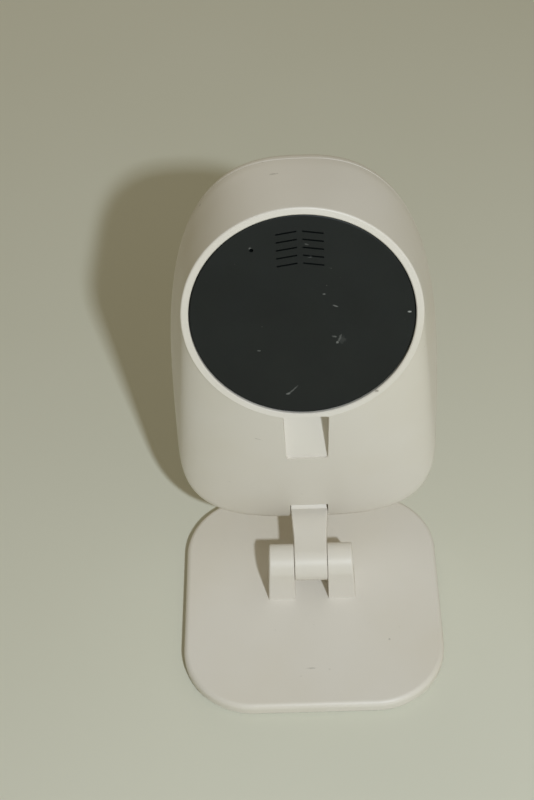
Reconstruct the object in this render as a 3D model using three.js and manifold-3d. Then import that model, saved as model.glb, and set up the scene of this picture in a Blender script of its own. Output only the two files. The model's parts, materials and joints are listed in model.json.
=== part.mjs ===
// Indoor Wi-Fi security camera on a folding stand, in millimetres, +Z up.
//
// A cream moulded head holds the lens, boards and speaker. A short arm joins it to a rounded-square base
// plate with two friction hinges. The origin is at the centre of the base's underside, and the lens looks
// towards -Y. The head is drawn in a frame of its own: the origin is at the centre of its round rear rim,
// +Y points out of the back, and the lens axis is the Y axis, so depths behind the rim are negative Y.

import * as THREE from 'three';
import { mergeVertices } from 'three/addons/utils/BufferGeometryUtils.js';
import Module from 'manifold-3d';

const wasm = await Module();
wasm.setup();

// ---------------------------------------------------------------- driving dimensions

const GAP = 0.3;                 // clearance between neighbouring pieces

// Base plate
const BASE_WIDTH = 60;           // side of the rounded square
const BASE_CORNER = 16.4;        // radius of its corners
const LEAST_CORNER = 1;          // radius kept where an inset would use the corner up
const BASE_THICKNESS = 3.6;      // top face above the table
const BASE_TOP_ROUND = 1.2;      // rounding of the top edge
const BASE_FOOT_ROUND = 0.8;     // rounding of the bottom edge
const FOOT_PROUD = 0.4;          // the soft foot stands out below the plate's rim
const FOOT_THICKNESS = 0.9;
const FOOT_BORDER = 2.6;         // plate's rim around the foot
const WEIGHT_THICKNESS = 1.0;    // steel plate that keeps the camera upright
const WEIGHT_BORDER = 6;

// Hinge between base and arm
const HINGE_OFFSET = 3.1;        // hinge axis ahead of the plate's centre
const HINGE_HEIGHT = 12.5;       // axis above the table
const KNUCKLE_RADIUS = 4.3;
const KNUCKLE_WIDTH = 7.6;
const LUG_WIDTH = 6.2;           // each of the two lugs, at the plate
const LUG_DRAFT = 0.7;           // the lugs narrow by this much towards the top
const LUG_ROOT = 0.4;            // the lugs reach this far into the plate
const PIN_RADIUS = 1.2;
const SLEEVE_WALL = 0.8;         // friction sleeve around each pin
const PIN_BLIND = 1.2;           // plastic left at the closed end of each pin bore
const PLUG_THICKNESS = 0.8;      // cap that closes the open end of the base pin bore
const PLUG_RADIUS = 2.1;

// Arm
const ARM_LENGTH = 16;           // between the two hinge axes
const ARM_RISE = 5;              // degrees above level at rest
const ARM_HEAD_WIDTH = 8.8;      // at the head's hinge
const ARM_FLARE_START = 0.3;     // share of the length where the arm starts to widen
const ARM_FLARE_END = 0.75;
const ARM_TIP_HEIGHT = 2.65;     // top of the arm above the head's hinge axis, where it meets the knuckle
const ARM_DEPTH_BELOW = 2.4;     // underside of the arm below the line between the axes
const HEAD_KNUCKLE_RADIUS = 4;

// Head
const HEAD_TILT = 15;            // degrees that the lens looks down at rest
const HEAD_WIDTH = 59.6;
const HEAD_HIGH = 25.8;          // top of the outline above the rim's centre
const HEAD_WIDEST = 41.4;        // its widest line below the rim's centre
const HEAD_LOW = 65.8;           // its bottom below the rim's centre
const CROWN_POWER_ACROSS = 2.6;  // exponents of the outline's superellipse above its widest line
const CROWN_POWER_UP = 3.4;
const LOW_POWER = 3.15;          // one exponent for both ways below it
const HEAD_DEPTH = 28.6;         // rim to front face
const FLARE_DEPTH = 19.5;        // the head reaches its full outline this far ahead of the rim
const SEAM_DEPTH = 21.8;         // where the rear housing ends and the front bezel starts
const LENS_DROP = 4.2;           // lens axis below the rim's centre
const HEAD_WALL = 1.5;
const HEAD_FLOOR = 3.6;          // bottom wall, measured upright, because the housing slopes there
const HEAD_HINGE_DEPTH = 22.4;   // hinge axis ahead of the rim
const HEAD_HINGE_LOW = 64.1;     // hinge axis below the rim's centre
const HINGE_BLOCK_WALL = 3;      // cheeks of the hinge block beside the slot
const HINGE_BLOCK_HEIGHT = 7;    // top of the block above the hinge axis
const SLOT_CLEARANCE = 0.4;      // around the head's knuckle
const TILT_BACK = 8;             // degrees of travel that the slot allows from rest
const FRONT_ROUND = 5.5;         // how far the front bezel rounds in
const TONGUE_DEPTH = 1.6;        // the bezel's tongue reaches this far into the housing

// Rear rim and cover
const RIM_RADIUS = 25;
const RIM_EDGE = 0.4;            // rounding of the rim's outer edge
const COVER_RADIUS = 23.05;
const COVER_SINK = 0.4;          // the cover lies below the rim
const COVER_THICKNESS = 1.6;
const TAPE_THICKNESS = 0.3;
const TAPE_WIDTH = 1.5;
const LEDGE_THICKNESS = 1.5;
const LEDGE_WIDTH = 2.35;
const SLOT_ROWS = 5;             // speaker slots, two to a row
const SLOT_PITCH = 1.77;
const SLOT_LENGTH = 4.35;
const SLOT_HEIGHT = 0.42;
const SLOT_SPLIT = 1.0;          // between the two slots of a row
const SLOT_SLANT = 8.6;          // degrees, down towards the outer ends
const SLOTS_HEIGHT = 15.75;      // middle row above the rim's centre
const PINHOLE_RADIUS = 0.6;
const PINHOLE_X = 9.7;

// Cable bay under the rim
const BAY_WIDTH = 10;
const BAY_DEPTH = 7.7;           // floor ahead of the rim
const BAY_WALL = 1.3;
const USB_WIDTH = 7.5;
const USB_THICKNESS = 2.6;
const USB_LENGTH = 5.5;
const USB_SHEET = 0.5;           // sheet metal of the socket's shell
const USB_BACK = 1;              // solid back of the socket
const USB_TONGUE_WIDTH = 4.3;
const USB_TONGUE_THICKNESS = 0.6;
const USB_TONGUE_SINK = 1;       // the tongue starts this far inside the mouth

// Boards
const BOARD_THICKNESS = 1.2;
const BOARD_STANDOFF = 2.3;      // main board's posts
const BOARD_RADIUS = 23.1;       // main board, round with a straight lower edge
const BOARD_SPACE = 3.2;         // main board to camera board
const POST_RADIUS = 2.2;
const POST_ANGLE = 32;           // main board's posts, from the horizontal
const SCREW_RADIUS = 0.75;
const SCREW_HEAD_RADIUS = 1.6;
const SCREW_HEAD = 1.1;
const SCREW_BITE = 3.2;          // length of screw in its post
const CHIP_HEIGHT = 1.4;         // shielded modules on the main board
const SHIELD_WIDTH = 16;         // processor's shield, in the middle of the board
const SHIELD_HEIGHT = 14;
const SHIELD_UP = 2;             // its centre above the rim's centre
const SPREADER_THICKNESS = 0.6;  // heat spreader on the processor's shield
const SPREADER_BORDER = 2;       // the spreader stands out on every side of the shield by this
const SPREADER_EAR = 1;          // and by this more to the left and right
const WIFI_WIDTH = 9;
const WIFI_HEIGHT = 8;
const WIFI_X = -8;
const WIFI_LOW = 14;             // its centre below the rim's centre
const BLOCK_CORNER = 0.8;        // corner radius of shields, chips and sensors

// Reset switch
const SWITCH_SIZE = 3.4;
const SWITCH_HEIGHT = 2.6;
const PLUNGER_RADIUS = 0.8;
const PLUNGER_LENGTH = 1.5;
const PLUNGER_SEAT = 1;          // depth of the plunger's well at rest
const RESET_TRAVEL = 0.4;
const SWITCH_CORNER = 0.4;

// Speaker
const SPEAKER_RADIUS = 6.3;
const SPEAKER_DEPTH = 2.7;
const SPEAKER_RIM = 1.4;         // height of the frame's straight rim
const SPEAKER_SHEET = 0.8;       // wall of the frame's rim
const SPEAKER_COLLAR = 0.6;      // height of the frame's collar around the magnet
const CONE_THICKNESS = 0.4;
const CONE_DEPTH = 0.7;          // fall of the cone from its edge to the dust cap
const CAP_RADIUS = 2.2;          // dust cap
const CAP_RISE = 0.3;
const ANTENNA_LENGTH = 18;
const ANTENNA_WIDTH = 5;
const ANTENNA_AHEAD = 0.8;       // antenna ahead of the camera board
const CABLE_RADIUS = 0.5;        // antenna's and speaker's leads
const SPEAKER_LEAD_OUT = 4;      // the leads swing out this far beside the speaker
const SPEAKER_LEAD_DOWN = 10;    // and meet the main board this far below its middle
const ANTENNA_LEAD_OUT = 4.7;    // the same for the antenna's lead
const ANTENNA_LEAD_DOWN = 6.8;
const GASKET_THICKNESS = 0.5;
const GASKET_WIDTH = 1.2;
const MAGNET_RADIUS = 4;
const MAGNET_PROUD = 0.4;        // the magnet stands out of the frame's collar

// Camera module and infrared ring
const CAMERA_BOARD_SIZE = 33;    // square, with rounded corners
const CAMERA_BOARD_CORNER = 3;
const CAMERA_POST = 13.8;        // post centres from the lens axis, both ways
const CAMERA_POST_RADIUS = 1.5;
const BOSS_SHOULDER = 0.7;       // the posts are wider by this ahead of the infrared board
const RIBBON_WIDTH = 8;
const RIBBON_THICKNESS = 0.3;
const RIBBON_LAP = 7;            // length of the ribbon's ends on each board
const RIBBON_FOLD = 0.5;         // the fold starts below the camera board's edge by this
const SENSOR_SIZE = 6.4;
const SENSOR_SHAPE = 0.8;        // height of the sensor over its width
const SENSOR_THICKNESS = 1;
const SENSOR_CORNER = 0.3;
const FILTER_AHEAD = 1;          // filter ahead of the sensor
const FILTER_THICKNESS = 0.6;
const HOLDER_SIZE = 15;
const HOLDER_CORNER = 1.5;
const HOLDER_BASE = 4.6;         // height of the holder's square foot
const HOLDER_WALL = 1.4;         // wall of the holder's round neck
const SENSOR_SPACE = 1;          // room around the sensor inside the holder
const BARREL_RADIUS = 5.2;
const BARREL_WALL = 0.8;
const BARREL_HEAD_RADIUS = 6.9;
const BARREL_HEAD_SHARE = 0.525;  // of the barrel's length, for its wide head
const BARREL_CHAMFER = 0.6;
const BARREL_BACK = 1.2;         // barrel's front behind the window
const BARREL_THROAT = 3.4;       // radius of the narrow part between the lenses
const BARREL_REAR = 3;           // depth of the rear lens's seat
const BARREL_SLOPE = 0.4;        // fall of the two seats towards the throat
const LENS_RADIUS = 4.9;
const LENS_SEAT = 2.6;           // front lens's seat behind the barrel's front
const LENS_EDGE = 0.8;           // straight edge of the front lens
const LENS_CROWN = 1.5;          // rise of its front face
const REAR_LENS_EDGE = 1.6;
const REAR_LENS_CROWN = 0.45;
const GLASS_RADIUS = 20.5;
const GLASS_THICKNESS = 1.4;
const GLASS_SINK = 0.2;
const GLASS_SEAT = 1.7;          // width and thickness of the ledge that carries the glass
const IR_BOARD_RADIUS = 22.4;
const IR_SPACE = 2.6;            // infrared board behind the bezel's face plate
const LED_COUNT = 8;
const LED_RING = 13.8;
const LED_RADIUS = 1.5;
const LED_HEIGHT = 3;
const LED_FLANGE = 0.3;          // flange around the lamp's foot
const LED_FLANGE_HEIGHT = 0.6;
const SENSOR_RING = 17.3;        // light sensor and status lamp from the lens axis
const SIGNAL_WIDTH = 2.6;        // light sensor
const SIGNAL_HEIGHT = 2;
const SIGNAL_THICKNESS = 1;
const STATUS_SHARE = 0.8;        // status lamp's size over the light sensor's
const SHROUD_WALL = 1.3;
const MIC_WIDTH = 4;
const MIC_HEIGHT = 3;
const MIC_THICKNESS = 1.1;
const MIC_LOW = 34;              // microphone hole below the rim's centre

// Steps around curves
const ROUND = 24;                // a multiple of four, as are the next two
const FINE_ROUND = 52;           // the rim, the cover and the front glass
const SMALL_ROUND = 12;
const OUTLINE_STEPS = 60;        // around the head, a multiple of four
const FLARE_ROWS = 2;            // between the rim and the full outline
const FRONT_ROWS = 5;            // across the bezel's rounded edge
const CORNER_STEPS = 8;          // around each corner of the base
const FILLET_STEPS = 3;
const CABLE_STEPS = 12;

// ---------------------------------------------------------------- materials

const finish = (color, roughness, metalness = 0) =>
  new THREE.MeshStandardMaterial({ color, roughness, metalness });

const CREAM = finish(0xe6e0d4, 0.5);
const CHARCOAL = finish(0x262827, 0.55);
const BLACK_GLASS = finish(0x0b0c0e, 0.08);
const BLACK_PLASTIC = finish(0x1a1a1b, 0.5);
const RUBBER = finish(0x3a3a3a, 0.85);
const STEEL = finish(0x9a9ca0, 0.35, 1);
const ALUMINIUM = finish(0xb9bcc0, 0.4, 1);
const BOARD = finish(0x1f5a3a, 0.5);
const CLEAR = finish(0xdfe6ea, 0.05);
const TAPE = finish(0xd9d4c8, 0.8);

// ---------------------------------------------------------------- solids

const radians = THREE.MathUtils.degToRad;

const MERGE_DISTANCE = 1e-4;

/** A closed geometry as a manifold solid with its faces pointing out. */
function solid(geometry) {
  const bare = geometry.clone();
  bare.deleteAttribute('normal');
  bare.deleteAttribute('uv');
  const merged = mergeVertices(bare, MERGE_DISTANCE);
  const vertProperties = new Float32Array(merged.attributes.position.array);
  const triVerts = new Uint32Array(merged.index.array);
  if (signedVolume(vertProperties, triVerts) < 0) {
    for (let i = 0; i < triVerts.length; i += 3) {
      [triVerts[i + 1], triVerts[i + 2]] = [triVerts[i + 2], triVerts[i + 1]];
    }
  }
  return new wasm.Manifold(new wasm.Mesh({ numProp: 3, vertProperties, triVerts }));
}

function signedVolume(points, triangles) {
  const corner = (k) => new THREE.Vector3().fromArray(points, 3 * triangles[k]);
  let volume = 0;
  for (let i = 0; i < triangles.length; i += 3) {
    volume += corner(i).dot(corner(i + 1).cross(corner(i + 2))) / 6;
  }
  return volume;
}

/** A manifold solid as a geometry that three.js can draw. */
function geometryOf(body) {
  const mesh = body.getMesh();
  const geometry = new THREE.BufferGeometry();
  geometry.setAttribute('position', new THREE.BufferAttribute(new Float32Array(mesh.vertProperties), 3));
  geometry.setIndex(new THREE.BufferAttribute(new Uint32Array(mesh.triVerts), 1));
  geometry.computeVertexNormals();
  return geometry;
}

const join = (...bodies) => bodies.reduce((whole, body) => whole.add(body));
const cut = (body, ...tools) => tools.reduce((rest, tool) => rest.subtract(tool), body);
const common = (...bodies) => bodies.reduce((whole, body) => whole.intersect(body));

/** Box from its low and high corners. */
function box([x0, y0, z0], [x1, y1, z1]) {
  const geometry = new THREE.BoxGeometry(x1 - x0, y1 - y0, z1 - z0);
  return solid(geometry.translate((x0 + x1) / 2, (y0 + y1) / 2, (z0 + z1) / 2));
}

/** Shape drawn in X and Z, extruded from one depth towards the lens to another. */
function slab(shape, depth0, depth1, curveSegments = 2) {
  const options = { depth: depth1 - depth0, bevelEnabled: false, curveSegments };
  const geometry = new THREE.ExtrudeGeometry(shape, options);
  return solid(geometry.rotateX(Math.PI / 2).translate(0, -depth0, 0));
}

/** Solid of revolution about the lens axis from [radius, depth] pairs; it closes on the axis or on itself. */
function turned(profile, steps = ROUND) {
  const points = profile.map(([radius, depth]) => new THREE.Vector2(radius, -depth));
  return solid(new THREE.LatheGeometry([...points, points[0].clone()], steps));
}

const disc = (radius, depth0, depth1, steps = ROUND) =>
  turned([[0, depth0], [radius, depth0], [radius, depth1], [0, depth1]], steps);

const ring = (inner, outer, depth0, depth1, steps = ROUND) =>
  turned([[inner, depth0], [outer, depth0], [outer, depth1], [inner, depth1]], steps);

/** Equal discs at several places, for posts and for the holes in them. */
const holes = (centres, radius, depth0, depth1) =>
  centres.map(([x, z]) => disc(radius, depth0, depth1, SMALL_ROUND).translate([x, 0, z]));

/** Cylinder along X between two x values. */
function rod(radius, x0, x1, y, z, steps = SMALL_ROUND) {
  const geometry = new THREE.CylinderGeometry(radius, radius, x1 - x0, steps);
  return solid(geometry.rotateZ(Math.PI / 2).translate((x0 + x1) / 2, y, z));
}

/** Closed skin through rings of points that all have the same count, capped at both ends. */
function loft(rings) {
  const count = rings[0].length;
  const points = rings.flat();
  const triangles = [];
  for (let row = 0; row < rings.length - 1; row++) {
    for (let i = 0; i < count; i++) {
      const a = row * count + i;
      const b = row * count + ((i + 1) % count);
      triangles.push(a, b, b + count, a, b + count, a + count);
    }
  }
  for (const row of [0, rings.length - 1]) {
    const middle = new THREE.Vector3();
    rings[row].forEach((point) => middle.addScaledVector(point, 1 / count));
    const centre = points.push(middle) - 1;
    for (let i = 0; i < count; i++) {
      const a = row * count + i;
      const b = row * count + ((i + 1) % count);
      triangles.push(...(row === 0 ? [b, a, centre] : [a, b, centre]));
    }
  }
  const geometry = new THREE.BufferGeometry().setFromPoints(points);
  geometry.setIndex(triangles);
  return solid(geometry);
}

// ---------------------------------------------------------------- outlines

/** Rounded square in X and Y at a height, inset from the base plate's own outline. */
function baseOutline(inset, z) {
  const half = BASE_WIDTH / 2 - inset;
  const corner = Math.max(BASE_CORNER - inset, LEAST_CORNER);
  const points = [];
  for (let quarter = 0; quarter < 4; quarter++) {
    const signX = quarter === 0 || quarter === 3 ? 1 : -1;
    const signY = quarter < 2 ? 1 : -1;
    for (let i = 0; i <= CORNER_STEPS; i++) {
      const angle = (Math.PI / 2) * (quarter + i / CORNER_STEPS);
      points.push(new THREE.Vector3(
        signX * (half - corner) + corner * Math.cos(angle),
        signY * (half - corner) + corner * Math.sin(angle),
        z,
      ));
    }
  }
  return points;
}

/**
 * Points around the head for one half of its outline, as angles. The skin runs in straight lines between the
 * rim's circle and the full outline, from each point of one to the point of the other that faces the same
 * way, so that the skin bends in one direction only.
 */
function outlineAngles(step) {
  const turn = (2 * Math.PI * step) / OUTLINE_STEPS;
  const upper = Math.sin(turn) >= 0;
  const across = upper ? CROWN_POWER_ACROSS : LOW_POWER;
  const up = upper ? CROWN_POWER_UP : LOW_POWER;
  const half = HEAD_WIDTH / 2;
  const height = upper ? HEAD_HIGH + HEAD_WIDEST : HEAD_LOW - HEAD_WIDEST;
  const bend = 2 - 2 / Math.sqrt(across * up);
  const slope = Math.abs(Math.tan(turn)) ** (1 / Math.sqrt(bend));
  const full = Math.atan(slope * (height / half) ** (1 / (2 * bend)));
  const facingAcross = (across / half) * Math.cos(full) ** (2 - 2 / across);
  const facingUp = (up / height) * Math.sin(full) ** (2 - 2 / up);
  return {
    signX: Math.cos(turn) >= 0 ? 1 : -1,
    signZ: upper ? 1 : -1,
    across,
    up,
    full,
    rim: Math.atan2(facingUp, facingAcross),
  };
}

/** Head outline at a depth: two half superellipses that meet on its widest line. */
function headOutline(inset, depth, floor = inset) {
  const half = HEAD_WIDTH / 2 - inset;
  return Array.from({ length: OUTLINE_STEPS }, (_, step) => {
    const { signX, signZ, across, up, full } = outlineAngles(step);
    const height = signZ > 0 ? HEAD_HIGH + HEAD_WIDEST - inset : HEAD_LOW - HEAD_WIDEST - floor;
    return new THREE.Vector3(
      signX * half * Math.cos(full) ** (2 / across),
      -depth,
      signZ * height * Math.sin(full) ** (2 / up) - HEAD_WIDEST,
    );
  });
}

/** Circle at a depth, with its points where the head's outline faces the same way. */
function rimCircle(radius, depth) {
  return Array.from({ length: OUTLINE_STEPS }, (_, step) => {
    const { signX, signZ, rim } = outlineAngles(step);
    return new THREE.Vector3(signX * radius * Math.cos(rim), -depth, signZ * radius * Math.sin(rim));
  });
}

/** Rectangle with rounded corners, centred on the lens axis unless it is moved. */
function roundedRect(width, height, corner, x = 0, z = 0) {
  const w = width / 2;
  const h = height / 2;
  const shape = new THREE.Shape();
  shape.moveTo(x - w + corner, z - h);
  shape.lineTo(x + w - corner, z - h);
  shape.absarc(x + w - corner, z - h + corner, corner, -Math.PI / 2, 0);
  shape.lineTo(x + w, z + h - corner);
  shape.absarc(x + w - corner, z + h - corner, corner, 0, Math.PI / 2);
  shape.lineTo(x - w + corner, z + h);
  shape.absarc(x - w + corner, z + h - corner, corner, Math.PI / 2, Math.PI);
  shape.lineTo(x - w, z - h + corner);
  shape.absarc(x - w + corner, z - h + corner, corner, Math.PI, 1.5 * Math.PI);
  return shape;
}

// ---------------------------------------------------------------- places worked out from the dimensions

const lugInner = KNUCKLE_WIDTH / 2 + GAP;
const lugOuter = lugInner + LUG_WIDTH;
const sleeveInner = PIN_RADIUS + GAP;
const sleeveOuter = sleeveInner + SLEEVE_WALL;
const armAngle = radians(ARM_RISE);
const armTip = ARM_LENGTH - Math.sqrt(HEAD_KNUCKLE_RADIUS ** 2 - ARM_TIP_HEIGHT ** 2);
const armTopFall = Math.atan((KNUCKLE_RADIUS - ARM_TIP_HEIGHT) / armTip);
const hingeY = -HINGE_OFFSET;
const headHingeY = hingeY - ARM_LENGTH * Math.cos(armAngle);
const headHingeZ = HINGE_HEIGHT + ARM_LENGTH * Math.sin(armAngle);

const coverBack = COVER_SINK + COVER_THICKNESS;
const ledgeStart = coverBack + GAP + TAPE_THICKNESS + GAP;
const ledgeEnd = ledgeStart + LEDGE_THICKNESS;
const recessRadius = COVER_RADIUS + GAP;
const ledgeRadius = recessRadius - LEDGE_WIDTH;
const boardBack = ledgeEnd + BOARD_STANDOFF + GAP;
const boardFront = boardBack + BOARD_THICKNESS;
const cameraBack = boardFront + BOARD_SPACE;
const cameraFront = cameraBack + BOARD_THICKNESS;
const glassBack = HEAD_DEPTH - GLASS_SINK - GLASS_THICKNESS;
const seatFront = glassBack - GAP;
const plateBack = seatFront - GLASS_SEAT;
const irFront = plateBack - IR_SPACE;
const irBack = irFront - BOARD_THICKNESS;
const postRing = ledgeRadius + GAP;
const boardPosts = [0, 1, 2, 3].map((k) => {
  const angle = radians([POST_ANGLE, 180 - POST_ANGLE, 180 + POST_ANGLE, -POST_ANGLE][k]);
  return [postRing * Math.cos(angle), postRing * Math.sin(angle)];
});
const cameraPosts = [[1, 1], [-1, 1], [-1, -1], [1, -1]].map(([x, z]) => [x * CAMERA_POST, z * CAMERA_POST]);
const spreaderBack = boardFront + GAP + CHIP_HEIGHT + GAP;
const usbDepth = boardBack - GAP - USB_THICKNESS / 2;
const boardLow = RIM_RADIUS - BAY_WALL - 2 * GAP;
const slotHalf = ARM_HEAD_WIDTH / 2 + GAP;
const blockHalf = slotHalf + HINGE_BLOCK_WALL;

// ---------------------------------------------------------------- base

/** Quarter-round rows between an inset edge and the full outline. */
function roundedRows(radius, z0, direction) {
  const rows = [];
  for (let i = 0; i <= FILLET_STEPS; i++) {
    const angle = (Math.PI / 2) * (i / FILLET_STEPS);
    rows.push([radius * (1 - Math.sin(angle)), z0 + direction * radius * (1 - Math.cos(angle))]);
  }
  return rows;
}

function basePlate() {
  const bottom = roundedRows(BASE_FOOT_ROUND, FOOT_PROUD, 1);
  const top = roundedRows(BASE_TOP_ROUND, BASE_THICKNESS, -1).reverse();
  const plate = loft([...bottom, ...top].map(([inset, z]) => baseOutline(inset, z)));
  const footRoof = FOOT_THICKNESS + GAP;
  const weightRoof = footRoof + WEIGHT_THICKNESS + GAP;
  const footPocket = loft([baseOutline(FOOT_BORDER, -1), baseOutline(FOOT_BORDER, footRoof)]);
  const weightPocket = loft([baseOutline(WEIGHT_BORDER, 0), baseOutline(WEIGHT_BORDER, weightRoof)]);
  return cut(join(cut(plate, footPocket, weightPocket), lug(1), lug(-1)), ...pinBores());
}

/** One hinge lug: a rounded upright cheek, drafted on its outer side. */
function lug(side) {
  const profile = new THREE.Shape();
  profile.moveTo(-KNUCKLE_RADIUS, BASE_THICKNESS - HINGE_HEIGHT - LUG_ROOT);
  profile.lineTo(KNUCKLE_RADIUS, BASE_THICKNESS - HINGE_HEIGHT - LUG_ROOT);
  profile.lineTo(KNUCKLE_RADIUS, 0);
  profile.absarc(0, 0, KNUCKLE_RADIUS, 0, Math.PI);
  const cheek = new THREE.ExtrudeGeometry(profile, {
    depth: LUG_WIDTH,
    bevelEnabled: false,
    curveSegments: ROUND / 2,
  });
  cheek.rotateX(Math.PI / 2).rotateZ(Math.PI / 2).translate(lugInner, hingeY, HINGE_HEIGHT);
  const draft = new THREE.Shape([
    [lugInner - 1, BASE_THICKNESS - 1],
    [lugOuter, BASE_THICKNESS - 1],
    [lugOuter, BASE_THICKNESS],
    [lugOuter - LUG_DRAFT, HINGE_HEIGHT + KNUCKLE_RADIUS],
    [lugOuter - LUG_DRAFT, HINGE_HEIGHT + KNUCKLE_RADIUS + 1],
    [lugInner - 1, HINGE_HEIGHT + KNUCKLE_RADIUS + 1],
  ].map(([x, z]) => new THREE.Vector2(x, z)));
  const depth = 2 * KNUCKLE_RADIUS + 2;
  const wedge = slab(draft, -hingeY - depth / 2, -hingeY + depth / 2);
  const body = common(solid(cheek), wedge);
  return side > 0 ? body : body.mirror([1, 0, 0]);
}

const lugTop = HINGE_HEIGHT + KNUCKLE_RADIUS;
const draftAtHinge = LUG_DRAFT * (HINGE_HEIGHT - BASE_THICKNESS) / (lugTop - BASE_THICKNESS);
const plugFace = lugOuter - draftAtHinge;
const plugInner = plugFace - PLUG_THICKNESS;
const basePinEnd = lugOuter - LUG_DRAFT - PIN_BLIND;

/** Pin bore through one lug and into the other, with a counterbore for the plug. */
function pinBores() {
  return [
    rod(sleeveInner, -lugOuter - 1, basePinEnd, hingeY, HINGE_HEIGHT),
    rod(PLUG_RADIUS + GAP, -lugOuter - 1, -plugInner + GAP, hingeY, HINGE_HEIGHT),
  ];
}

const baseFoot = () => loft([
  baseOutline(FOOT_BORDER + GAP, 0),
  baseOutline(FOOT_BORDER + GAP, FOOT_THICKNESS),
]);

function baseWeight() {
  const floor = FOOT_THICKNESS + GAP;
  return loft([
    baseOutline(WEIGHT_BORDER + GAP, floor),
    baseOutline(WEIGHT_BORDER + GAP, floor + WEIGHT_THICKNESS),
  ]);
}

const basePin = () => rod(PIN_RADIUS, -plugInner + 2 * GAP, basePinEnd - GAP, hingeY, HINGE_HEIGHT);
const basePlug = () => rod(PLUG_RADIUS, -plugFace, -plugInner, hingeY, HINGE_HEIGHT);

// ---------------------------------------------------------------- arm
// Drawn level, with its base axis at 0, 0.

function arm() {
  const side = new THREE.Shape();
  side.moveTo(0, KNUCKLE_RADIUS);
  side.absarc(0, 0, KNUCKLE_RADIUS, Math.PI / 2, Math.PI * 1.75);
  side.lineTo(KNUCKLE_RADIUS, -ARM_DEPTH_BELOW);
  side.lineTo(ARM_LENGTH - HEAD_KNUCKLE_RADIUS, -ARM_DEPTH_BELOW);
  const tipAngle = Math.asin(ARM_TIP_HEIGHT / HEAD_KNUCKLE_RADIUS);
  side.absarc(ARM_LENGTH, 0, HEAD_KNUCKLE_RADIUS, Math.PI * 1.25, Math.PI * 3 - tipAngle);
  const reach = ARM_HEAD_WIDTH / 2 + 1;
  const webOptions = { depth: 2 * reach, bevelEnabled: false, curveSegments: ROUND / 2 };
  const web = new THREE.ExtrudeGeometry(side, webOptions);
  web.rotateX(Math.PI / 2).rotateZ(-Math.PI / 2).translate(reach, 0, 0);

  const narrow = KNUCKLE_WIDTH / 2;
  const wide = ARM_HEAD_WIDTH / 2;
  const start = ARM_FLARE_START * ARM_LENGTH;
  const end = ARM_FLARE_END * ARM_LENGTH;
  const tip = ARM_LENGTH + HEAD_KNUCKLE_RADIUS + 1;
  const plan = new THREE.Shape();
  plan.moveTo(-narrow, KNUCKLE_RADIUS + 1);
  plan.lineTo(-narrow, -start);
  plan.bezierCurveTo(-narrow, -(start + end) / 2, -wide, -(start + end) / 2, -wide, -end);
  plan.lineTo(-wide, -tip);
  plan.lineTo(wide, -tip);
  plan.lineTo(wide, -end);
  plan.bezierCurveTo(wide, -(start + end) / 2, narrow, -(start + end) / 2, narrow, -start);
  plan.lineTo(narrow, KNUCKLE_RADIUS + 1);
  const height = 2 * KNUCKLE_RADIUS + 4;
  const block = new THREE.ExtrudeGeometry(plan, { depth: height, bevelEnabled: false, curveSegments: 5 });
  block.translate(0, 0, -height / 2);
  return cut(
    common(solid(web), solid(block)),
    rod(sleeveOuter + GAP, -reach, reach, 0, 0),
    rod(sleeveOuter + GAP, -reach, reach, -ARM_LENGTH, 0),
  );
}

/** Thin tube along X around a hinge pin. */
const sleeve = (width, y) => cut(
  rod(sleeveOuter, -width / 2, width / 2, y, 0),
  rod(sleeveInner, -width / 2 - 1, width / 2 + 1, y, 0),
);

// ---------------------------------------------------------------- head shells, in the head's own frame

/** Rings between two rings, each point going straight from one to the other. */
function between(first, last, rows) {
  return Array.from({ length: rows }, (_, row) =>
    first.map((point, i) => point.clone().lerp(last[i], (row + 1) / (rows + 1))));
}

/** Outer skin of the housing: straight from the round rim to the full outline, then level to the seam. */
function headSkin() {
  const rim = rimCircle(RIM_RADIUS, RIM_EDGE);
  const halfway = RIM_EDGE * (1 - Math.SQRT1_2);
  const full = headOutline(0, FLARE_DEPTH);
  return loft([
    rimCircle(RIM_RADIUS - RIM_EDGE, 0),
    rimCircle(RIM_RADIUS - halfway, halfway),
    rim,
    ...between(rim, full, FLARE_ROWS),
    full,
    headOutline(0, SEAM_DEPTH),
  ]);
}

/** The same skin moved in by the wall: the space inside the housing, from a depth to past the seam. */
function headHollow(firstDepth) {
  const rim = rimCircle(RIM_RADIUS - HEAD_WALL, HEAD_WALL);
  const full = headOutline(HEAD_WALL, FLARE_DEPTH, HEAD_FLOOR);
  const hollow = loft([
    rim,
    ...between(rim, full, FLARE_ROWS),
    full,
    headOutline(HEAD_WALL, SEAM_DEPTH + 1, HEAD_FLOOR),
  ]);
  const reach = HEAD_WIDTH + HEAD_LOW;
  return common(hollow, box([-reach, -HEAD_DEPTH, -reach], [reach, -firstDepth, reach]));
}

/** Space for the head's knuckle and the arm's swing, open below and behind. */
function hingeSlot() {
  const axisY = -HEAD_HINGE_DEPTH;
  const axisZ = -HEAD_HINGE_LOW;
  const radius = HEAD_KNUCKLE_RADIUS + SLOT_CLEARANCE;
  const around = rod(radius, -slotHalf, slotHalf, axisY, axisZ, ROUND);
  const below = box([-slotHalf, axisY - radius, -HEAD_LOW - 2], [slotHalf, axisY + HEAD_HINGE_DEPTH, axisZ]);
  // The highest line that the arm's upper side reaches, seen from the head.
  const lift = radians(TILT_BACK - HEAD_TILT) - armAngle + armTopFall;
  const roof = new THREE.BoxGeometry(2 * slotHalf, HEAD_HINGE_DEPTH, 2 * radius);
  roof.translate(0, HEAD_HINGE_DEPTH / 2, 0).rotateX(lift).translate(0, axisY, axisZ);
  return join(around, below, solid(roof));
}

/** Block on both sides of the slot that holds the head's hinge pin. */
const hingeBlock = (depth0, depth1) => box(
  [-blockHalf, -depth1, -HEAD_LOW - 1],
  [blockHalf, -depth0, -HEAD_HINGE_LOW + HINGE_BLOCK_HEIGHT],
);

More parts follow.
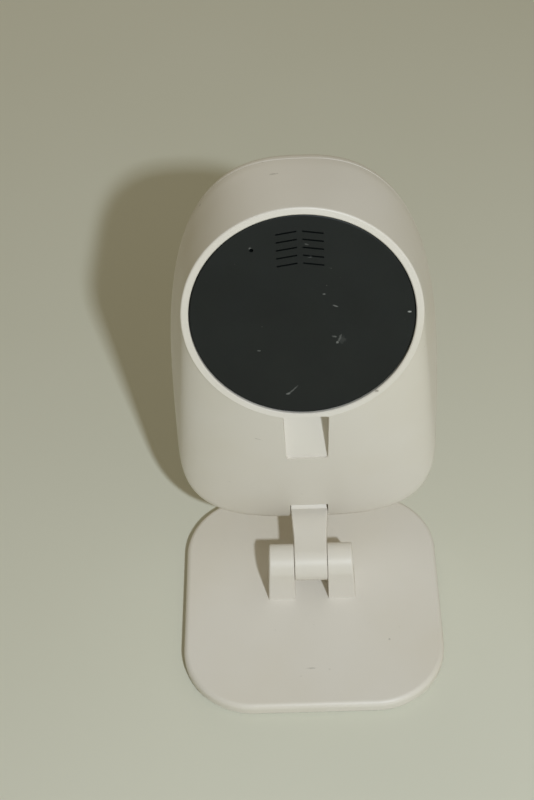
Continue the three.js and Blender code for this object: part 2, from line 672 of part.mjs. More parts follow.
/** Bore for the pin of the head's hinge, which the two shells close between them. */
const headPinBore = () => rod(
  sleeveInner, -blockHalf + PIN_BLIND, blockHalf - PIN_BLIND, -HEAD_HINGE_DEPTH, -HEAD_HINGE_LOW);

function rearHousing() {
  const skin = headSkin();
  const shell = cut(skin, headHollow(ledgeEnd));
  const bayHalf = BAY_WIDTH / 2;
  const usbHalf = USB_WIDTH / 2 + GAP;
  const usbNear = usbDepth - USB_THICKNESS / 2 - GAP;
  const usbFar = usbDepth + USB_THICKNESS / 2 + GAP;
  const bayWalls = common(skin, box(
    [-bayHalf - BAY_WALL, -BAY_DEPTH - BAY_WALL, -HEAD_LOW],
    [bayHalf + BAY_WALL, -ledgeStart, -RIM_RADIUS + BAY_WALL],
  ));
  const block = common(skin, hingeBlock(SEAM_DEPTH / 2, SEAM_DEPTH));
  const posts = holes(boardPosts, POST_RADIUS, ledgeStart + GAP, boardBack - GAP);
  const bores = holes(boardPosts, SCREW_RADIUS + GAP / 2, ledgeStart + 2 * GAP, boardBack);
  return cut(
    join(shell, bayWalls, block, ...posts.map((post) => common(skin, post))),
    disc(ledgeRadius, -1, ledgeEnd + 0.1, FINE_ROUND),
    disc(recessRadius, -1, ledgeStart, FINE_ROUND),
    box([-bayHalf, -BAY_DEPTH, -HEAD_LOW + 1], [bayHalf, 1, -RIM_RADIUS + 0.1]),
    box([-usbHalf, -usbFar, -RIM_RADIUS - 1], [usbHalf, -usbNear, -ledgeRadius + 1]),
    hingeSlot(),
    headPinBore(),
    ...bores,
  );
}

function rearCover() {
  const blank = disc(COVER_RADIUS, COVER_SINK, coverBack, FINE_ROUND);
  const slots = [];
  for (let row = 0; row < SLOT_ROWS; row++) {
    const z = SLOTS_HEIGHT + (row - (SLOT_ROWS - 1) / 2) * SLOT_PITCH;
    for (const side of [1, -1]) {
      const slot = new THREE.BoxGeometry(SLOT_LENGTH, COVER_THICKNESS + 2, SLOT_HEIGHT);
      slot.rotateY(side * radians(SLOT_SLANT));
      slot.translate(side * (SLOT_SPLIT + SLOT_LENGTH) / 2, -COVER_SINK, z);
      slots.push(solid(slot));
    }
  }
  const pinhole = disc(PINHOLE_RADIUS, -1, coverBack + 1, SMALL_ROUND);
  return cut(blank, ...slots, pinhole.translate([PINHOLE_X, 0, SLOTS_HEIGHT]));
}

const coverTape = () => ring(
  ledgeRadius + GAP,
  ledgeRadius + GAP + TAPE_WIDTH,
  coverBack + GAP,
  coverBack + GAP + TAPE_THICKNESS,
);

/** Front bezel: a cap with a rounded edge, a seat for the glass, a tongue and posts for the boards. */
function frontBezel() {
  const start = SEAM_DEPTH + GAP;
  const rows = [];
  for (let i = 0; i <= FRONT_ROWS; i++) {
    const angle = (Math.PI / 2) * (i / FRONT_ROWS);
    const depth = start + (HEAD_DEPTH - start) * Math.sin(angle);
    rows.push(headOutline(FRONT_ROUND * (1 - Math.cos(angle)), depth));
  }
  const cap = loft(rows);
  const tongueStart = SEAM_DEPTH - TONGUE_DEPTH;
  const outerInset = HEAD_WALL + GAP;
  const innerInset = 2 * HEAD_WALL + GAP;
  const outerFloor = HEAD_FLOOR + GAP;
  const innerFloor = HEAD_FLOOR + HEAD_WALL + GAP;
  const hollow = loft([
    headOutline(innerInset, tongueStart - 1, innerFloor),
    headOutline(innerInset, plateBack, innerFloor),
  ]);
  const tongue = cut(
    loft([headOutline(outerInset, tongueStart, outerFloor), headOutline(outerInset, start + 1, outerFloor)]),
    box(
      [-blockHalf - GAP, -SEAM_DEPTH - GAP, -HEAD_LOW],
      [blockHalf + GAP, 0, -HEAD_HINGE_LOW + HINGE_BLOCK_HEIGHT + GAP],
    ),
  );
  const block = common(cap, hingeBlock(start, plateBack + 1));
  const onAxis = (radius, depth0, depth1) =>
    disc(radius, depth0, depth1, FINE_ROUND).translate([0, 0, -LENS_DROP]);
  const onPost = (radius, depth0, depth1) =>
    holes(cameraPosts, radius, depth0, depth1).map((post) => post.translate([0, 0, -LENS_DROP]));
  return cut(
    join(
      cut(join(cap, tongue), hollow),
      block,
      ...onPost(CAMERA_POST_RADIUS, cameraFront + GAP, plateBack + GAP),
      ...onPost(CAMERA_POST_RADIUS + BOSS_SHOULDER, irFront + GAP, plateBack + GAP),
    ),
    onAxis(GLASS_RADIUS + GAP, seatFront, HEAD_DEPTH + 1),
    onAxis(GLASS_RADIUS - GLASS_SEAT, plateBack - GAP, HEAD_DEPTH + 1),
    disc(PINHOLE_RADIUS, plateBack - 1, HEAD_DEPTH + 1, SMALL_ROUND).translate([0, 0, -MIC_LOW]),
    ...onPost(SCREW_RADIUS + GAP / 2, cameraFront, cameraFront + SCREW_BITE + 2 * GAP),
    hingeSlot(),
    headPinBore(),
  );
}

const frontGlass = () => disc(GLASS_RADIUS, glassBack, glassBack + GLASS_THICKNESS, FINE_ROUND);

const headPin = () => rod(
  PIN_RADIUS, -blockHalf + PIN_BLIND + GAP, blockHalf - PIN_BLIND - GAP, -HEAD_HINGE_DEPTH, -HEAD_HINGE_LOW);

// ---------------------------------------------------------------- electronics

/** Screw with its head on the rear or front face of a board and its shank running into a post. */
function screw([x, z], headDepth, direction) {
  const shank = headDepth + direction * (GAP + BOARD_THICKNESS + GAP + SCREW_BITE);
  const head = headDepth - direction * SCREW_HEAD;
  const body = turned([
    [0, head], [SCREW_HEAD_RADIUS, head], [SCREW_HEAD_RADIUS, headDepth],
    [SCREW_RADIUS, headDepth], [SCREW_RADIUS, shank], [0, shank],
  ], SMALL_ROUND);
  return body.translate([x, 0, z]);
}

/** Main board: round, with a straight lower edge above the cable bay. */
function mainBoard() {
  const corner = Math.acos(Math.min(boardLow / BOARD_RADIUS, 1));
  const shape = new THREE.Shape();
  shape.absarc(0, 0, BOARD_RADIUS, corner - Math.PI / 2, 1.5 * Math.PI - corner);
  return cut(
    slab(shape, boardBack, boardFront, ROUND),
    ...holes(boardPosts, SCREW_RADIUS + GAP, boardBack - 1, boardFront + 1),
  );
}

/** Block on a board: a rounded rectangle from one depth to another. */
const block = (width, height, x, z, depth0, depth1, corner = BLOCK_CORNER) =>
  slab(roundedRect(width, height, corner, x, z), depth0, depth1);

const socShield = () =>
  block(SHIELD_WIDTH, SHIELD_HEIGHT, 0, SHIELD_UP, boardFront + GAP, boardFront + GAP + CHIP_HEIGHT);

const wifiModule = () =>
  block(WIFI_WIDTH, WIFI_HEIGHT, WIFI_X, -WIFI_LOW, boardBack - GAP - CHIP_HEIGHT, boardBack - GAP);

const heatSpreader = () => block(
  SHIELD_WIDTH + 2 * (SPREADER_BORDER + SPREADER_EAR),
  SHIELD_HEIGHT + 2 * SPREADER_BORDER,
  0,
  SHIELD_UP,
  spreaderBack,
  spreaderBack + SPREADER_THICKNESS,
);

function usbSocket() {
  const half = USB_WIDTH / 2;
  const near = usbDepth - USB_THICKNESS / 2;
  const far = usbDepth + USB_THICKNESS / 2;
  const mouth = -RIM_RADIUS + 2 * GAP;
  const shell = box([-half, -far, mouth], [half, -near, mouth + USB_LENGTH]);
  const throat = box(
    [-half + USB_SHEET, -far + USB_SHEET, mouth - 1],
    [half - USB_SHEET, -near - USB_SHEET, mouth + USB_LENGTH - USB_BACK],
  );
  const tongue = box(
    [-USB_TONGUE_WIDTH / 2, -usbDepth - USB_TONGUE_THICKNESS / 2, mouth + USB_TONGUE_SINK],
    [USB_TONGUE_WIDTH / 2, -usbDepth + USB_TONGUE_THICKNESS / 2, mouth + USB_LENGTH - USB_BACK / 2],
  );
  return join(cut(shell, throat), tongue);
}

function resetSwitch() {
  const top = boardBack - GAP - SWITCH_HEIGHT;
  const body = block(
    SWITCH_SIZE, SWITCH_SIZE, PINHOLE_X, SLOTS_HEIGHT, top, boardBack - GAP, SWITCH_CORNER);
  const well = disc(PLUNGER_RADIUS + GAP, top - 1, top + PLUNGER_SEAT + RESET_TRAVEL, SMALL_ROUND);
  return cut(body, well.translate([PINHOLE_X, 0, SLOTS_HEIGHT]));
}

function resetPlunger() {
  const foot = boardBack - GAP - SWITCH_HEIGHT + PLUNGER_SEAT - GAP;
  const plunger = disc(PLUNGER_RADIUS, foot - PLUNGER_LENGTH, foot, SMALL_ROUND);
  return plunger.translate([PINHOLE_X, 0, SLOTS_HEIGHT]);
}

// Speaker stack behind the slots, from the cover forwards, as high as the ledge allows.
const speakerHeight = ledgeRadius - GAP - SPEAKER_RADIUS;
const gasketBack = coverBack + GAP;
const speakerBack = gasketBack + GASKET_THICKNESS + GAP;
const speakerFront = speakerBack + SPEAKER_DEPTH;

const atSpeaker = (body) => body.translate([0, 0, speakerHeight]);
const speakerBore = SPEAKER_RADIUS - SPEAKER_SHEET;
const collar = MAGNET_RADIUS + GAP;

const speakerGasket = () =>
  atSpeaker(ring(SPEAKER_RADIUS - GASKET_WIDTH, SPEAKER_RADIUS, gasketBack, gasketBack + GASKET_THICKNESS));

const speakerFrame = () => atSpeaker(turned([
  [SPEAKER_RADIUS, speakerBack],
  [SPEAKER_RADIUS, speakerBack + SPEAKER_RIM],
  [collar + SPEAKER_SHEET, speakerFront],
  [collar, speakerFront],
  [collar, speakerFront - SPEAKER_COLLAR],
  [speakerBore, speakerBack + SPEAKER_RIM - GAP],
  [speakerBore, speakerBack],
]));

/** Cone that falls from its edge to a domed dust cap. */
function speakerCone() {
  const edge = speakerBore - GAP;
  const back = speakerBack + CONE_THICKNESS / 2;
  const deep = back + CONE_DEPTH;
  return atSpeaker(turned([
    [0, deep - CAP_RISE],
    [CAP_RADIUS, deep],
    [edge, back],
    [edge, back + CONE_THICKNESS],
    [CAP_RADIUS, deep + CONE_THICKNESS],
    [0, deep + CONE_THICKNESS],
  ]));
}

const speakerMagnet = () =>
  atSpeaker(disc(MAGNET_RADIUS, speakerBack + SPEAKER_RIM + GAP, speakerFront + MAGNET_PROUD));

/** Round cable through points given as x, depth and height. */
function cable(points) {
  const path = new THREE.CatmullRomCurve3(points.map(([x, depth, z]) => new THREE.Vector3(x, -depth, z)));
  const section = new THREE.Shape();
  section.absarc(0, 0, CABLE_RADIUS, 0, 2 * Math.PI);
  const options = { steps: CABLE_STEPS, extrudePath: path, curveSegments: 3, bevelEnabled: false };
  return solid(new THREE.ExtrudeGeometry(section, options));
}

function speakerCable() {
  const start = -SPEAKER_RADIUS;
  const end = start - SPEAKER_LEAD_OUT;
  const atSpeakerFront = speakerFront + CABLE_RADIUS;
  const atBoard = boardBack - GAP - CABLE_RADIUS;
  return cable([
    [start, atSpeakerFront, speakerHeight],
    [start - 0.62 * SPEAKER_LEAD_OUT, atSpeakerFront, speakerHeight - 0.2 * SPEAKER_LEAD_DOWN],
    [end, atBoard - 1.6 * CABLE_RADIUS, speakerHeight - 0.6 * SPEAKER_LEAD_DOWN],
    [end, atBoard, speakerHeight - SPEAKER_LEAD_DOWN],
  ]);
}

/** Height of the housing's inner roof above the rim's centre, at a distance from the middle and a depth. */
function roofHeight(x, depth) {
  const atRim = Math.sqrt((RIM_RADIUS - HEAD_WALL) ** 2 - x ** 2);
  const across = (x / (HEAD_WIDTH / 2 - HEAD_WALL)) ** CROWN_POWER_ACROSS;
  const crown = (HEAD_HIGH + HEAD_WIDEST - HEAD_WALL) * (1 - across) ** (1 / CROWN_POWER_UP);
  const atFull = crown - HEAD_WIDEST;
  const share = (depth - HEAD_WALL) / (FLARE_DEPTH - HEAD_WALL);
  return THREE.MathUtils.lerp(atRim, atFull, Math.min(share, 1));
}

const antennaHalf = ANTENNA_LENGTH / 2;
const antennaBack = cameraFront + ANTENNA_AHEAD;
const antennaTop = roofHeight(antennaHalf, antennaBack) - GAP;

/** Antenna board under the roof: its upper long edges lie against the housing. */
const wifiAntenna = () => box(
  [-antennaHalf, -antennaBack - ANTENNA_WIDTH, antennaTop - BOARD_THICKNESS],
  [antennaHalf, -antennaBack, antennaTop],
);

function antennaCable() {
  const x = -antennaHalf - 2 * CABLE_RADIUS;
  const z = antennaTop - BOARD_THICKNESS;
  const atBoard = boardFront + GAP + CABLE_RADIUS;
  return cable([
    [x, antennaBack + ANTENNA_WIDTH / 2, z],
    [x - 0.53 * ANTENNA_LEAD_OUT, antennaBack, z - 0.32 * ANTENNA_LEAD_DOWN],
    [x - 0.92 * ANTENNA_LEAD_OUT, atBoard + 3.6 * CABLE_RADIUS, z - 0.68 * ANTENNA_LEAD_DOWN],
    [x - ANTENNA_LEAD_OUT, atBoard, z - ANTENNA_LEAD_DOWN],
  ]);
}

/** Flat cable folded back between the camera board and the main board. */
function cameraRibbon() {
  const near = boardFront + GAP;
  const far = cameraBack - GAP;
  const bend = (far - near) / 2;
  const middle = (far + near) / 2;
  const fold = -CAMERA_BOARD_SIZE / 2 - RIBBON_FOLD;
  const end = fold + RIBBON_LAP;
  const strip = new THREE.Shape();
  strip.moveTo(far, end);
  strip.lineTo(far, fold);
  strip.absarc(middle, fold, bend, 0, -Math.PI, true);
  strip.lineTo(near, end);
  strip.lineTo(near + RIBBON_THICKNESS, end);
  strip.lineTo(near + RIBBON_THICKNESS, fold);
  strip.absarc(middle, fold, bend - RIBBON_THICKNESS, -Math.PI, 0, false);
  strip.lineTo(far - RIBBON_THICKNESS, end);
  const options = { depth: RIBBON_WIDTH, bevelEnabled: false, curveSegments: 6 };
  const geometry = new THREE.ExtrudeGeometry(strip, options);
  return solid(geometry.rotateX(Math.PI / 2).rotateZ(-Math.PI / 2).translate(RIBBON_WIDTH / 2, 0, 0));
}

function cameraBoard() {
  const outline = roundedRect(CAMERA_BOARD_SIZE, CAMERA_BOARD_SIZE, CAMERA_BOARD_CORNER);
  const blank = slab(outline, cameraBack, cameraFront);
  return cut(blank, ...holes(cameraPosts, SCREW_RADIUS + GAP, cameraBack - 1, cameraFront + 1));
}

const holderBack = cameraFront + GAP;
const holderStep = holderBack + HOLDER_BASE;
const sensorFront = holderBack + SENSOR_THICKNESS;
const filterBack = sensorFront + FILTER_AHEAD;
const filterFront = filterBack + FILTER_THICKNESS;
const barrelBack = filterFront + GAP;
const barrelFront = glassBack - BARREL_BACK;
const barrelStep = barrelFront - BARREL_HEAD_SHARE * (barrelFront - barrelBack);
const holderFront = barrelStep - GAP;
const lensSeat = barrelFront - LENS_SEAT;
const barrelBore = BARREL_RADIUS - BARREL_WALL;

const imageSensor = () => block(
  SENSOR_SIZE, SENSOR_SIZE * SENSOR_SHAPE, 0, 0, holderBack, sensorFront, SENSOR_CORNER);

function lensHolder() {
  const foot = block(HOLDER_SIZE, HOLDER_SIZE, 0, 0, holderBack, holderStep, HOLDER_CORNER);
  const neck = disc(BARREL_RADIUS + GAP + HOLDER_WALL, holderStep - GAP, holderFront);
  const well = SENSOR_SIZE + 2 * SENSOR_SPACE;
  return cut(
    join(foot, neck),
    disc(BARREL_RADIUS + GAP, filterBack - GAP, holderFront + 1),
    block(well, well, 0, 0, holderBack - 1, filterBack, SENSOR_CORNER),
  );
}

const irCutFilter = () => disc(BARREL_RADIUS - GAP, filterBack, filterFront);

const lensBarrel = () => turned([
  [BARREL_RADIUS, barrelBack],
  [BARREL_RADIUS, barrelStep],
  [BARREL_HEAD_RADIUS, barrelStep],
  [BARREL_HEAD_RADIUS, barrelFront - BARREL_CHAMFER],
  [BARREL_HEAD_RADIUS - BARREL_CHAMFER, barrelFront],
  [LENS_RADIUS + GAP, barrelFront],
  [LENS_RADIUS + GAP, lensSeat],
  [BARREL_THROAT, lensSeat - BARREL_SLOPE],
  [BARREL_THROAT, barrelBack + BARREL_REAR + BARREL_SLOPE],
  [barrelBore, barrelBack + BARREL_REAR],
  [barrelBore, barrelBack],
]);

/** Front lens: a flat back, a straight edge and a spherical front. */
function lensFrontElement() {
  const back = lensSeat + GAP;
  const edge = back + LENS_EDGE;
  const sphere = (LENS_RADIUS ** 2 + LENS_CROWN ** 2) / (2 * LENS_CROWN);
  const profile = [[0, back], [LENS_RADIUS, back]];
  for (const share of [1, 0.85, 0.65, 0.4, 0.2, 0]) {
    const radius = share * LENS_RADIUS;
    profile.push([radius, edge + LENS_CROWN - sphere + Math.sqrt(sphere ** 2 - radius ** 2)]);
  }
  return turned(profile);
}

function lensRearElement() {
  const radius = barrelBore - GAP;
  const back = barrelBack + GAP;
  return turned([
    [0, back],
    [radius, back + REAR_LENS_CROWN],
    [radius, back + REAR_LENS_CROWN + REAR_LENS_EDGE],
    [0, back + 2 * REAR_LENS_CROWN + REAR_LENS_EDGE],
  ]);
}

const shroudInner = BARREL_HEAD_RADIUS + 2 * GAP;
const lensShroud = () => ring(shroudInner, shroudInner + SHROUD_WALL, irFront + GAP, glassBack - GAP);

function irBoard() {
  const blank = ring(shroudInner, IR_BOARD_RADIUS, irBack, irFront);
  return cut(blank, ...holes(cameraPosts, CAMERA_POST_RADIUS + GAP, irBack - 1, irFront + 1));
}

/** Infrared lamp: a flanged foot, a straight side and a domed top. */
function irLed(index) {
  const angle = (2 * Math.PI * index) / LED_COUNT;
  const foot = irFront + GAP;
  const dome = foot + LED_HEIGHT - LED_RADIUS;
  const profile = [
    [0, foot],
    [LED_RADIUS + LED_FLANGE, foot],
    [LED_RADIUS + LED_FLANGE, foot + LED_FLANGE_HEIGHT],
    [LED_RADIUS, foot + LED_FLANGE_HEIGHT],
  ];
  for (const turn of [0, Math.PI / 6, Math.PI / 3, Math.PI / 2]) {
    profile.push([LED_RADIUS * Math.cos(turn), dome + LED_RADIUS * Math.sin(turn)]);
  }
  return turned(profile, SMALL_ROUND).translate([LED_RING * Math.cos(angle), 0, LED_RING * Math.sin(angle)]);
}

/** Small clear sensor or lamp above or below the lens. */
const signal = (share, z) => block(
  share * SIGNAL_WIDTH,
  share * SIGNAL_HEIGHT,
  0,
  z,
  irFront + GAP,
  irFront + GAP + SIGNAL_THICKNESS,
  SENSOR_CORNER,
);

const lightSensor = () => signal(1, SENSOR_RING);
const statusLed = () => signal(STATUS_SHARE, -SENSOR_RING);
const microphone = () => block(
  MIC_WIDTH, MIC_HEIGHT, 0, -MIC_LOW, plateBack - GAP - MIC_THICKNESS, plateBack - GAP, SENSOR_CORNER);

// ---------------------------------------------------------------- assembly

function mesh(name, body, material) {
  const geometry = body.isBufferGeometry ? body : geometryOf(body);
  const piece = new THREE.Mesh(geometry, material);
  piece.name = name;
  return piece;
}

const camera = new THREE.Group();

camera.add(
  mesh('base_plate', basePlate(), CREAM),
  mesh('base_foot', baseFoot(), RUBBER),
  mesh('base_weight', baseWeight(), STEEL),
  mesh('base_hinge_pin', basePin(), STEEL),
  mesh('base_hinge_plug', basePlug(), CREAM),
);

const armGroup = new THREE.Group();
armGroup.position.set(0, hingeY, HINGE_HEIGHT);
armGroup.rotation.x = -armAngle;
armGroup.add(
  mesh('arm', arm(), CREAM),
  mesh('base_hinge_sleeve', sleeve(KNUCKLE_WIDTH - 2 * GAP, 0), STEEL),
  mesh('head_hinge_sleeve', sleeve(ARM_HEAD_WIDTH - 2 * GAP, -ARM_LENGTH), STEEL),
);
camera.add(armGroup);

// The head hangs on its own hinge axis: the inner group moves the rim's centre there.
const headGroup = new THREE.Group();
headGroup.position.set(0, headHingeY, headHingeZ);
headGroup.rotation.x = radians(HEAD_TILT);
const head = new THREE.Group();
head.position.set(0, HEAD_HINGE_DEPTH, HEAD_HINGE_LOW);
headGroup.add(head);
camera.add(headGroup);

head.add(
  mesh('rear_housing', rearHousing(), CREAM),
  mesh('rear_cover', rearCover(), CHARCOAL),
  mesh('cover_tape', coverTape(), TAPE),
  mesh('front_bezel', frontBezel(), CREAM),
  mesh('head_hinge_pin', headPin(), STEEL),
  mesh('main_board', mainBoard(), BOARD),
  mesh('soc_shield', socShield(), STEEL),
  mesh('wifi_module', wifiModule(), STEEL),
  mesh('heat_spreader', heatSpreader(), ALUMINIUM),
  mesh('usb_socket', usbSocket(), STEEL),
  mesh('reset_switch', resetSwitch(), BLACK_PLASTIC),
  mesh('reset_plunger', resetPlunger(), BLACK_PLASTIC),
  mesh('wifi_antenna', wifiAntenna(), BOARD),
  mesh('antenna_cable', antennaCable(), BLACK_PLASTIC),
  mesh('speaker_gasket', speakerGasket(), RUBBER),
  mesh('speaker_frame', speakerFrame(), BLACK_PLASTIC),
  mesh('speaker_cone', speakerCone(), BLACK_PLASTIC),
  mesh('speaker_magnet', speakerMagnet(), STEEL),
  mesh('speaker_cable', speakerCable(), BLACK_PLASTIC),
  mesh('microphone', microphone(), STEEL),
);
boardPosts.forEach((centre, k) => {
  head.add(mesh(`board_screw_${k + 1}`, screw(centre, boardFront + GAP, -1), STEEL));
});

// Everything that is centred on the lens axis.
const optics = new THREE.Group();
optics.position.z = -LENS_DROP;
head.add(optics);

optics.add(
  mesh('front_glass', frontGlass(), BLACK_GLASS),
  mesh('camera_ribbon', cameraRibbon(), TAPE),
  mesh('camera_board', cameraBoard(), BOARD),
  mesh('image_sensor', imageSensor(), BLACK_GLASS),
  mesh('lens_holder', lensHolder(), BLACK_PLASTIC),
  mesh('ir_cut_filter', irCutFilter(), CLEAR),
  mesh('lens_barrel', lensBarrel(), BLACK_PLASTIC),
  mesh('lens_front_element', lensFrontElement(), CLEAR),
  mesh('lens_rear_element', lensRearElement(), CLEAR),
  mesh('lens_shroud', lensShroud(), RUBBER),
  mesh('ir_board', irBoard(), BOARD),
  mesh('light_sensor', lightSensor(), CLEAR),
  mesh('status_led', statusLed(), CLEAR),
);
cameraPosts.forEach((centre, k) => {
  optics.add(mesh(`camera_screw_${k + 1}`, screw(centre, cameraBack - GAP, 1), STEEL));
});
for (let k = 0; k < LED_COUNT; k++) {
  optics.add(mesh(`ir_led_${k + 1}`, irLed(k), CLEAR));
}

export default camera;
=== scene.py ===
"""Looks for an indoor security camera on a folding stand, built around its packed CAD frame.

Every piece is in metres in the frame of the CAD part: +Z is up and the lens looks towards -Y. The head is
drawn in a frame of its own, with the origin at the centre of its round rear rim, and place_in_head() tilts
it onto its hinge. Depths in the head are counted from the rim towards the lens.
"""

import json
from functools import partial
from math import cos, pi, radians, sin, sqrt

import bmesh
import bpy
import numpy as np
from mathutils import Matrix, Vector


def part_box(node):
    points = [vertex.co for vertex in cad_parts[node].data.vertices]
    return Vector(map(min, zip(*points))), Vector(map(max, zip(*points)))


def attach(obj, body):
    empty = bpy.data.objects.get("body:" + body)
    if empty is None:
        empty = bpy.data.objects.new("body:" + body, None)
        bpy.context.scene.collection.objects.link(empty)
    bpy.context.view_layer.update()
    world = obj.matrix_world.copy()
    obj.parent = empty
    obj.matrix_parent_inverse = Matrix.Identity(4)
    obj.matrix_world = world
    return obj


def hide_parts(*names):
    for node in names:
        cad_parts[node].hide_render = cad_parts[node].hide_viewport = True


bl_info = {
    "name": "Security camera on a folding stand",
    "version": (1, 0, 0),
    "blender": (4, 5, 0),
    "location": "View3D > Sidebar > Security camera",
    "description": "Builds the moulded shells, the optics, the stand and their materials",
    "category": "Object",
}

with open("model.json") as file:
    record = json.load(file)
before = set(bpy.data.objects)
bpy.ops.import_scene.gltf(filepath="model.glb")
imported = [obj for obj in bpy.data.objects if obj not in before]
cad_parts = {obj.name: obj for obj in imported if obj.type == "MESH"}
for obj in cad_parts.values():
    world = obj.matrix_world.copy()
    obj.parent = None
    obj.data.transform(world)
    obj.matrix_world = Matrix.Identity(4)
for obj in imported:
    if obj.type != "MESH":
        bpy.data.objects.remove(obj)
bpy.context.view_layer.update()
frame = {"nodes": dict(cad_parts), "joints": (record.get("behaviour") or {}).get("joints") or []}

MM = 0.001
PAST = 1 * MM  # how far a cutting shape reaches past the surface that it opens
BASE_HINGE, HEAD_HINGE = (
    Vector(joint["pos_m"]) for joint in frame["joints"] if joint["type"] == "hinge"
)
ARM_RISE = np.arctan2(HEAD_HINGE.z - BASE_HINGE.z, BASE_HINGE.y - HEAD_HINGE.y)


# ---------------------------------------------------------------- sizes and colours


def length(name, millimetres, description):
    """A size property in metres from its value in millimetres."""
    return bpy.props.FloatProperty(
        name=name, description=description, default=millimetres * MM, unit="LENGTH", precision=5
    )


def rotation(name, degrees, description):
    return bpy.props.FloatProperty(
        name=name, description=description, default=radians(degrees), unit="ROTATION"
    )


def power(name, default, description):
    return bpy.props.FloatProperty(name=name, description=description, default=default, min=1.5)


def count(name, default, description):
    return bpy.props.IntProperty(name=name, description=description, default=default, min=3)


def hex_colour(name, default, description):
    return bpy.props.StringProperty(name=name, description=description, default=default)


class CAMERA_PG_head(bpy.types.PropertyGroup):
    """Sizes of the moulded head."""

    tilt: rotation("Tilt", 15, "How far the lens looks down")
    tilt_back: rotation("Tilt back", 8, "How far the hinge slot lets the head lean back from there")
    hinge_depth: length("Hinge depth", 22.4, "Hinge axis ahead of the rim")
    hinge_low: length("Hinge low", 64.1, "Hinge axis below the rim's centre")
    width: length("Width", 59.6, "Width of the outline")
    high: length("High", 25.76, "Top of the outline above the rim's centre")
    widest: length("Widest", 41.4, "Widest line below the rim's centre")
    low: length("Low", 65.8, "Bottom of the outline below the rim's centre")
    crown_across: power("Crown across", 2.6, "Exponent across of the outline above its widest line")
    crown_up: power("Crown up", 3.4, "Exponent upwards of the same half")
    low_power: power("Lower power", 3.15, "Exponent both ways below the widest line")
    depth: length("Depth", 28.56, "Rim to front face")
    flare: length("Flare", 19.5, "Depth at which the skin reaches the full outline")
    crease: length("Crease", 1.0, "Half of the soft bend where the flare ends")
    seam: length("Seam", 21.8, "Depth of the seam between the two shells")
    seam_gap: length("Seam gap", 0.1, "Open joint that shows between the two shells")
    edge: length("Edge", 0.08, "Rounding of the two edges at the seam")
    tongue: length("Tongue", 1.6, "How far the front shell's tongue reaches behind the seam")
    gap: length("Gap", 0.3, "Clearance between neighbouring pieces")
    wall: length("Wall", 1.5, "Wall thickness")
    floor: length("Floor", 3.6, "Thickness of the bottom wall, measured upright")
    front_inside: length("Front inside", 25.0, "Depth of the front wall's inner face")
    front_round: length("Front round", 5.5, "How far the front rounds in")
    rim: length("Rim", 25.0, "Radius of the round rear rim")
    rim_edge: length("Rim edge", 0.4, "Rounding of the rim's outer edge")
    recess: length("Recess", 23.35, "Radius of the recess that takes the cover")
    recess_edge: length("Recess edge", 0.2, "Bevel of the recess's edge")
    recess_depth: length("Recess depth", 2.9, "Depth of that recess")
    ledge: length("Ledge", 21.0, "Inner radius of the ledge behind the cover")
    ledge_back: length("Ledge back", 4.4, "Depth of the ledge's inner face")
    bay_width: length("Bay width", 10.0, "Width of the cable bay")
    bay_depth: length("Bay depth", 7.2, "Depth of the cable bay's floor under the rim")
    bay_fall: length("Bay fall", 1.0, "How much deeper the floor is at the bay's lower end")
    bay_length: length("Bay length", 15.3, "Height of the bay below the rim")
    bay_draft: length("Bay draft", 0.35, "How much each side comes in towards the lower end")
    bay_corner: length("Bay corner", 0.8, "Radius of the bay's corners")
    bay_wall: length("Bay wall", 1.3, "Wall around the bay")
    socket_half: length("Socket half", 4.05, "Half of the width of the socket's mouth")
    socket_back: length("Socket back", 3.8, "Depth of the mouth's rear side")
    socket_front: length("Socket front", 7.0, "Depth of the mouth's front side")
    socket_corner: length("Socket corner", 0.3, "Radius of the mouth's corners")
    slot_half: length("Slot half", 4.48, "Half of the hinge slot's width")
    knuckle: length("Knuckle", 4.4, "Radius of the space around the head's knuckle")
    cheek: length("Cheek", 3.0, "Wall at each side of the hinge slot")
    cheek_high: length("Cheek high", 7.0, "Top of those walls above the hinge axis")
    block_inset: length("Block inset", 0.6, "How far within the skin the inner walls end")
    steps: count("Steps", 256, "Points around the outline")


class CAMERA_PG_cover(bpy.types.PropertyGroup):
    """Sizes of the dark rear cover."""

    radius: length("Radius", 23.2, "Radius of the cover")
    sink: length("Sink", 0.4, "Depth of its face below the rim")
    thickness: length("Thickness", 1.6, "Thickness")
    edge: length("Edge", 0.32, "Rounding of its edge")
    slot_pitch: length("Slot pitch", 1.77, "Distance between the rows of speaker slots")
    slot_length: length("Slot length", 4.35, "Length of a slot")
    slot_height: length("Slot height", 0.34, "Height of a slot")
    slot_split: length("Slot split", 1.0, "Distance between the two slots of a row")
    slots_high: length("Slots high", 15.75, "Middle row above the rim's centre")
    pinhole: length("Pinhole", 0.42, "Radius of the reset pinhole")
    pinhole_x: length("Pinhole place", 9.7, "Pinhole to one side of the middle")
    rows: count("Rows", 5, "Rows of speaker slots")
    slant: rotation("Slant", 8.6, "Fall of the slots towards their outer ends")


